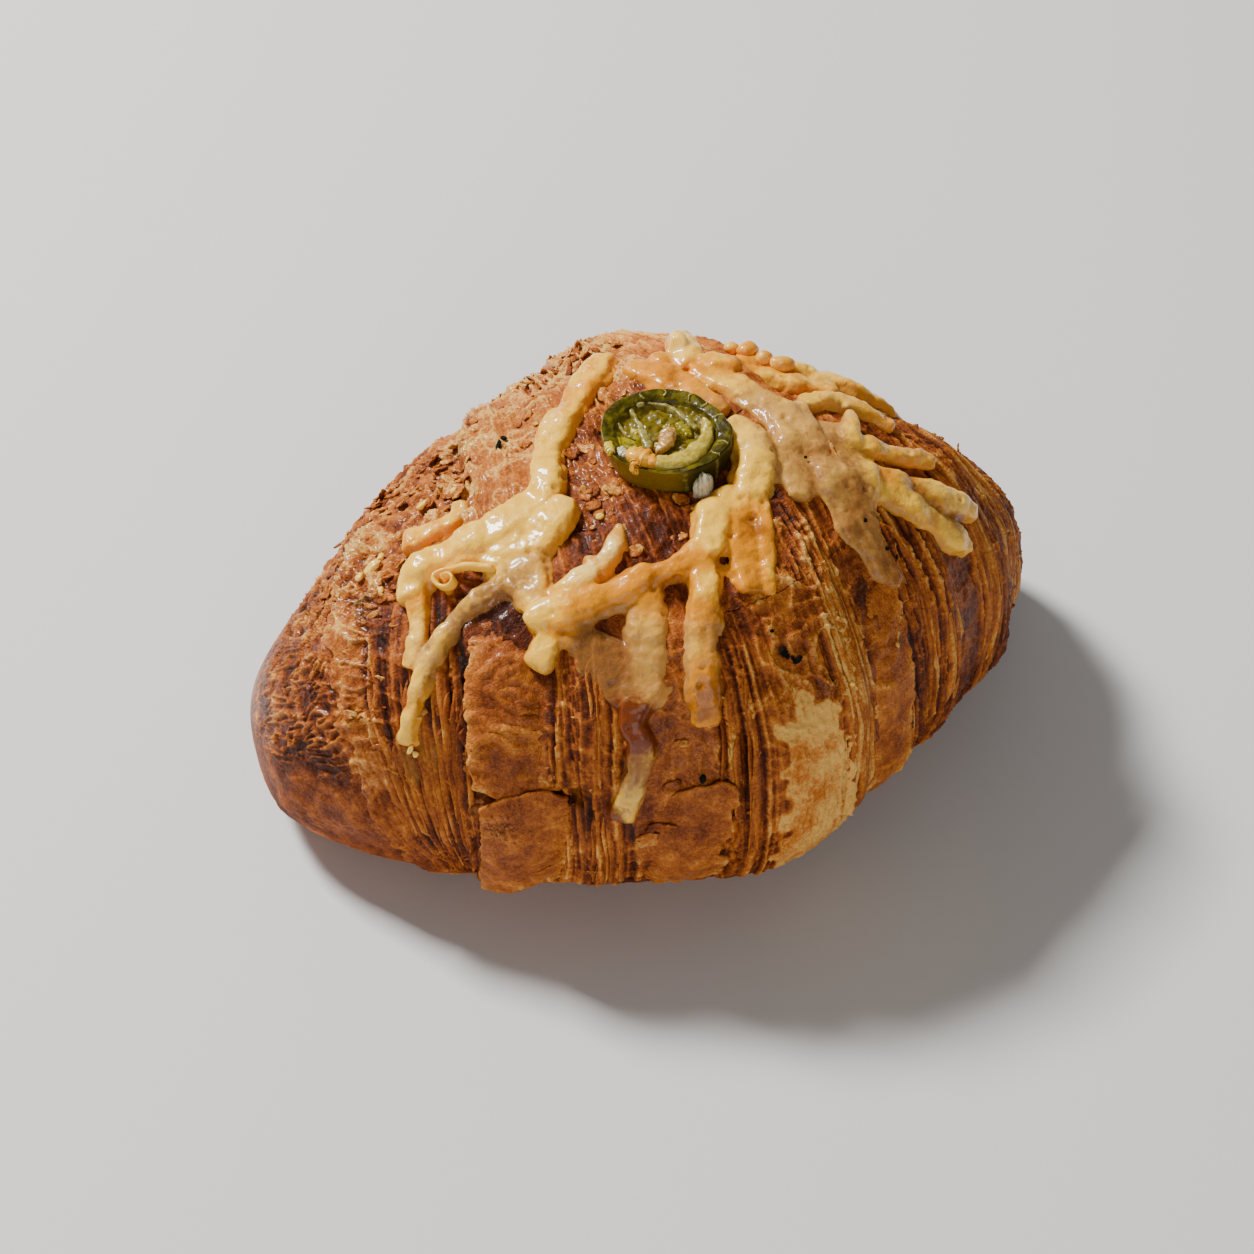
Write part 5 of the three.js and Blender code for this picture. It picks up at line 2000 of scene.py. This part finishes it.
HERBS = (
    Bit(0.010, 52, (0.8, 0.9, 0.3), 20), Bit(0.014, 53.2, (0.5, 0.4, 0.3), 60),
    Bit(0.027, 55, (1, 0.5, 0.35), 10), Bit(0.033, 54.6, (0.4, 0.5, 0.3), 70),
    Bit(0.021, 54, (0.3, 0.4, 0.25), 0), Bit(-0.134, 75.2, (0.9, 0.6, 0.4), 30, 0.8),
    Bit(-0.02, 30.8, (0.6, 0.9, 0.35), 0, 0.4), Bit(-0.055, 33, (0.5, 0.6, 0.3), 40, 0.4),
    Bit(-0.37, -8.6, (1.4, 0.45, 0.4), 60, 0.7), Bit(-0.355, -10.5, (0.4, 1, 0.3), 20, 0.7),
    Bit(0.002, 47, (0.4, 0.3, 0.2)), Bit(0.235, 38.5, (0.4, 0.45, 0.25), 0, 1.5),
    Bit(0.25, 46.5, (0.4, 0.4, 0.25), 0, 1.3), Bit(0.265, 49.5, (0.3, 0.45, 0.25), 0, 1),
    Bit(0.2, 20, (0.3, 0.35, 0.2), 0, 2),
)
CRUMBS = (
    Bit(-0.65, 11.6, (1.9, 1.2, 0.6), 10, 0.9), Bit(-0.672, 14, (1, 0.8, 0.5), 50, 0.8),
    Bit(-0.637, 9, (0.9, 0.7, 0.5), 30, 0.9), Bit(-0.62, 20, (0.8, 0.6, 0.4), 70, 0.7),
    Bit(-0.56, -1, (1.2, 0.8, 0.5), 15, 0.9), Bit(-0.49, -2, (0.8, 0.7, 0.4), 35, 0.8),
    Bit(-0.2, 14, (0.8, 0.6, 0.4), 0, 0.5), Bit(0.6, 24, (0.7, 1.1, 0.5), 15, 0.6),
    Bit(0.61, 28, (0.5, 0.7, 0.4), 40, 0.5), Bit(-0.546, 65.5, (0.9, 0.5, 0.4), 0, 1.4),
    Bit(-0.54, 67, (0.6, 0.6, 0.4), 20, 0.9), Bit(0.1, 66, (0.6, 0.5, 0.4), 0, 0.5),
)
BEANS = (
    Bit(0.338, -8, (2.5, 1.9, 1.7), 20, 2.6), Bit(0.352, -5, (1.8, 1.6, 1.5), 0, 2.4),
    Bit(0.374, -2.4, (2.7, 1.9, 1.6), -10, 2.4), Bit(0.318, -10.5, (1.6, 1.5, 1.2), 0, 2.2),
)


@dataclass
class Bits:
    """Small bits of one kind that lie on the crust, as one piece."""

    crust: Crust
    name: str
    bits: tuple[Bit, ...]
    node: str
    slot: str
    rough: float = 0.35
    toast: float = 0.3
    cream: float = 0.5
    seed: int = 61
    sides: int = 16
    rings: int = 10

    def build(self, finish: Finish) -> None:
        """Models all of them.

        Args:
            finish: Its finish.
        """
        things = []
        grain = Grain(self.seed)
        for number, bit in enumerate(self.bits):
            thing, _, _ = ball(f"{self.name}_{number}", self.sides, self.rings)
            co = read(thing)
            co = co * (1 + self.rough * grain.at(co + 7.7 * number, 0.7))[:, None] * bit.size
            share, angle = np.array([bit.share]), np.array([bit.angle])
            up = self.crust.roll.outward(share, angle)[0]
            first = unit(np.cross(up, (0, 1, 0)))
            second = np.cross(up, first)
            turn = math.radians(bit.turn)
            x, y = first * math.cos(turn) + second * math.sin(turn), second * math.cos(turn) - first * math.sin(turn)
            place = self.crust.place(share, angle, bit.lift)[0]
            write(thing, place + co[:, :1] * x + co[:, 1:2] * y + co[:, 2:] * up)
            things.append(thing)
        thing = joined(self.name, things)
        paint(thing, toast=self.toast, cream=self.cream)
        hand_over(thing, self.node, finish)


@dataclass
class Viewpoint:
    """The photograph's camera."""

    azimuth: float = -23.33
    elevation: float = 42.0
    distance: float = 541.5
    field_of_view: float = 25.0
    sensor: float = 36.0
    aim: Triple = (-2.27, -85.05, 22.8)

    def build(self, shift: Array) -> None:
        """Sets the camera up.

        Args:
            shift: How far the roll's own frame lies from the row frame, in millimetres.
        """
        a, e = math.radians(self.azimuth), math.radians(self.elevation)
        back = Vector((math.sin(a) * math.cos(e), -math.cos(a) * math.cos(e), math.sin(e)))
        aim = Vector(np.array(self.aim) + shift) * MM
        lens = bpy.data.cameras.new("camera")
        lens.sensor_width = self.sensor
        lens.lens = self.sensor / 2 / math.tan(math.radians(self.field_of_view / 2))
        camera = bpy.data.objects.new("camera", lens)
        camera.location = aim + back * self.distance * MM
        camera.rotation_euler = back.to_track_quat("Z", "Y").to_euler()
        bpy.context.scene.collection.objects.link(camera)
        bpy.context.scene.camera = camera


@dataclass
class Studio:
    """A plain pale floor and soft light from the upper left, behind the croissant."""

    floor_side: float = 6.0
    floor_colour: Colour = srgb(214, 212, 209)
    sky: Colour = (1.0, 0.98, 0.95, 1.0)
    sky_strength: float = 0.22
    key_place: Triple = (-0.5, 0.8, 1.15)
    key_size: float = 0.3
    key_power: float = 42.0
    fill_place: Triple = (-0.45, -1.15, 0.4)
    fill_size: float = 0.9
    fill_power: float = 6.0

    def light(self, name: str, place: Triple, size: float, power: float) -> None:
        """A soft square light that looks at the croissant.

        Args:
            name: What it is called.
            place: Where it hangs, in metres.
            size: Its side.
            power: Its power in watts.
        """
        lamp = bpy.data.lights.new(name, "AREA")
        lamp.size = size
        lamp.energy = power
        thing = bpy.data.objects.new(name, lamp)
        thing.location = place
        thing.rotation_euler = Vector(place).to_track_quat("Z", "Y").to_euler()
        bpy.context.scene.collection.objects.link(thing)

    def build(self) -> None:
        """Sets up the floor, the sky and the lights."""
        deselect()
        bpy.ops.mesh.primitive_plane_add(size=self.floor_side)
        floor = bpy.context.active_object
        floor.name = "floor"
        shop = Shop("floor")
        floor.data.materials.append(shop.finish(Base_Color=self.floor_colour, Roughness=0.7))
        world = bpy.data.worlds.new("sky")
        bpy.context.scene.world = world
        world.use_nodes = True
        background = world.node_tree.nodes["Background"]
        background.inputs["Color"].default_value = self.sky
        background.inputs["Strength"].default_value = self.sky_strength
        self.light("key", self.key_place, self.key_size, self.key_power)
        self.light("fill", self.fill_place, self.fill_size, self.fill_power)


def main() -> None:
    """Builds the dressed croissant, its floor, light and camera."""
    logging.basicConfig(level=logging.INFO, format="%(name)s: %(message)s")
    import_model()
    crust = Crust.standing(Roll(), "croissant")
    Viewpoint().build(crust.shift)
    Studio().build()
    baked, cheese = BakedCrust().material(), MeltedCheese().material()
    lamination = Lamination(crust.roll)
    for turn in Turn:
        DoughTurn(crust, lamination, turn).build(baked)
    for flap in FLAPS:
        flap.build(crust, lamination, baked)
    LayerEdges(crust, lamination).build(baked)
    Flakes(crust).build(baked)
    clear = MeltedCheese("half_clear_cheese", half_clear=True).material()
    Melt(crust, "melt", "melted_cheese", "cheese", MELT_STRANDS).build(clear)
    Melt(crust, "drop", "cheese_drop", "toasted_cheese", DROP_STRANDS).build(cheese)
    curl = Melt(crust, "curl", "melted_cheese", "cheese", {"curl": CURL}, voxel=0.2, sides=16, sink=0.6, lift=2.2,
                lumpy=0.3, footed=False)
    curl.build(cheese)
    PepperSlice(crust).build(cheese)
    Bits(crust, "herbs", HERBS, "croissant", "crust").build(Herb().material())
    Bits(crust, "crumbs", CRUMBS, "croissant", "crust").build(cheese)
    Bits(crust, "beans", BEANS, "melted_cheese", "cheese", 0.12, 0.7).build(cheese)


if __name__ == "__main__":
    main()
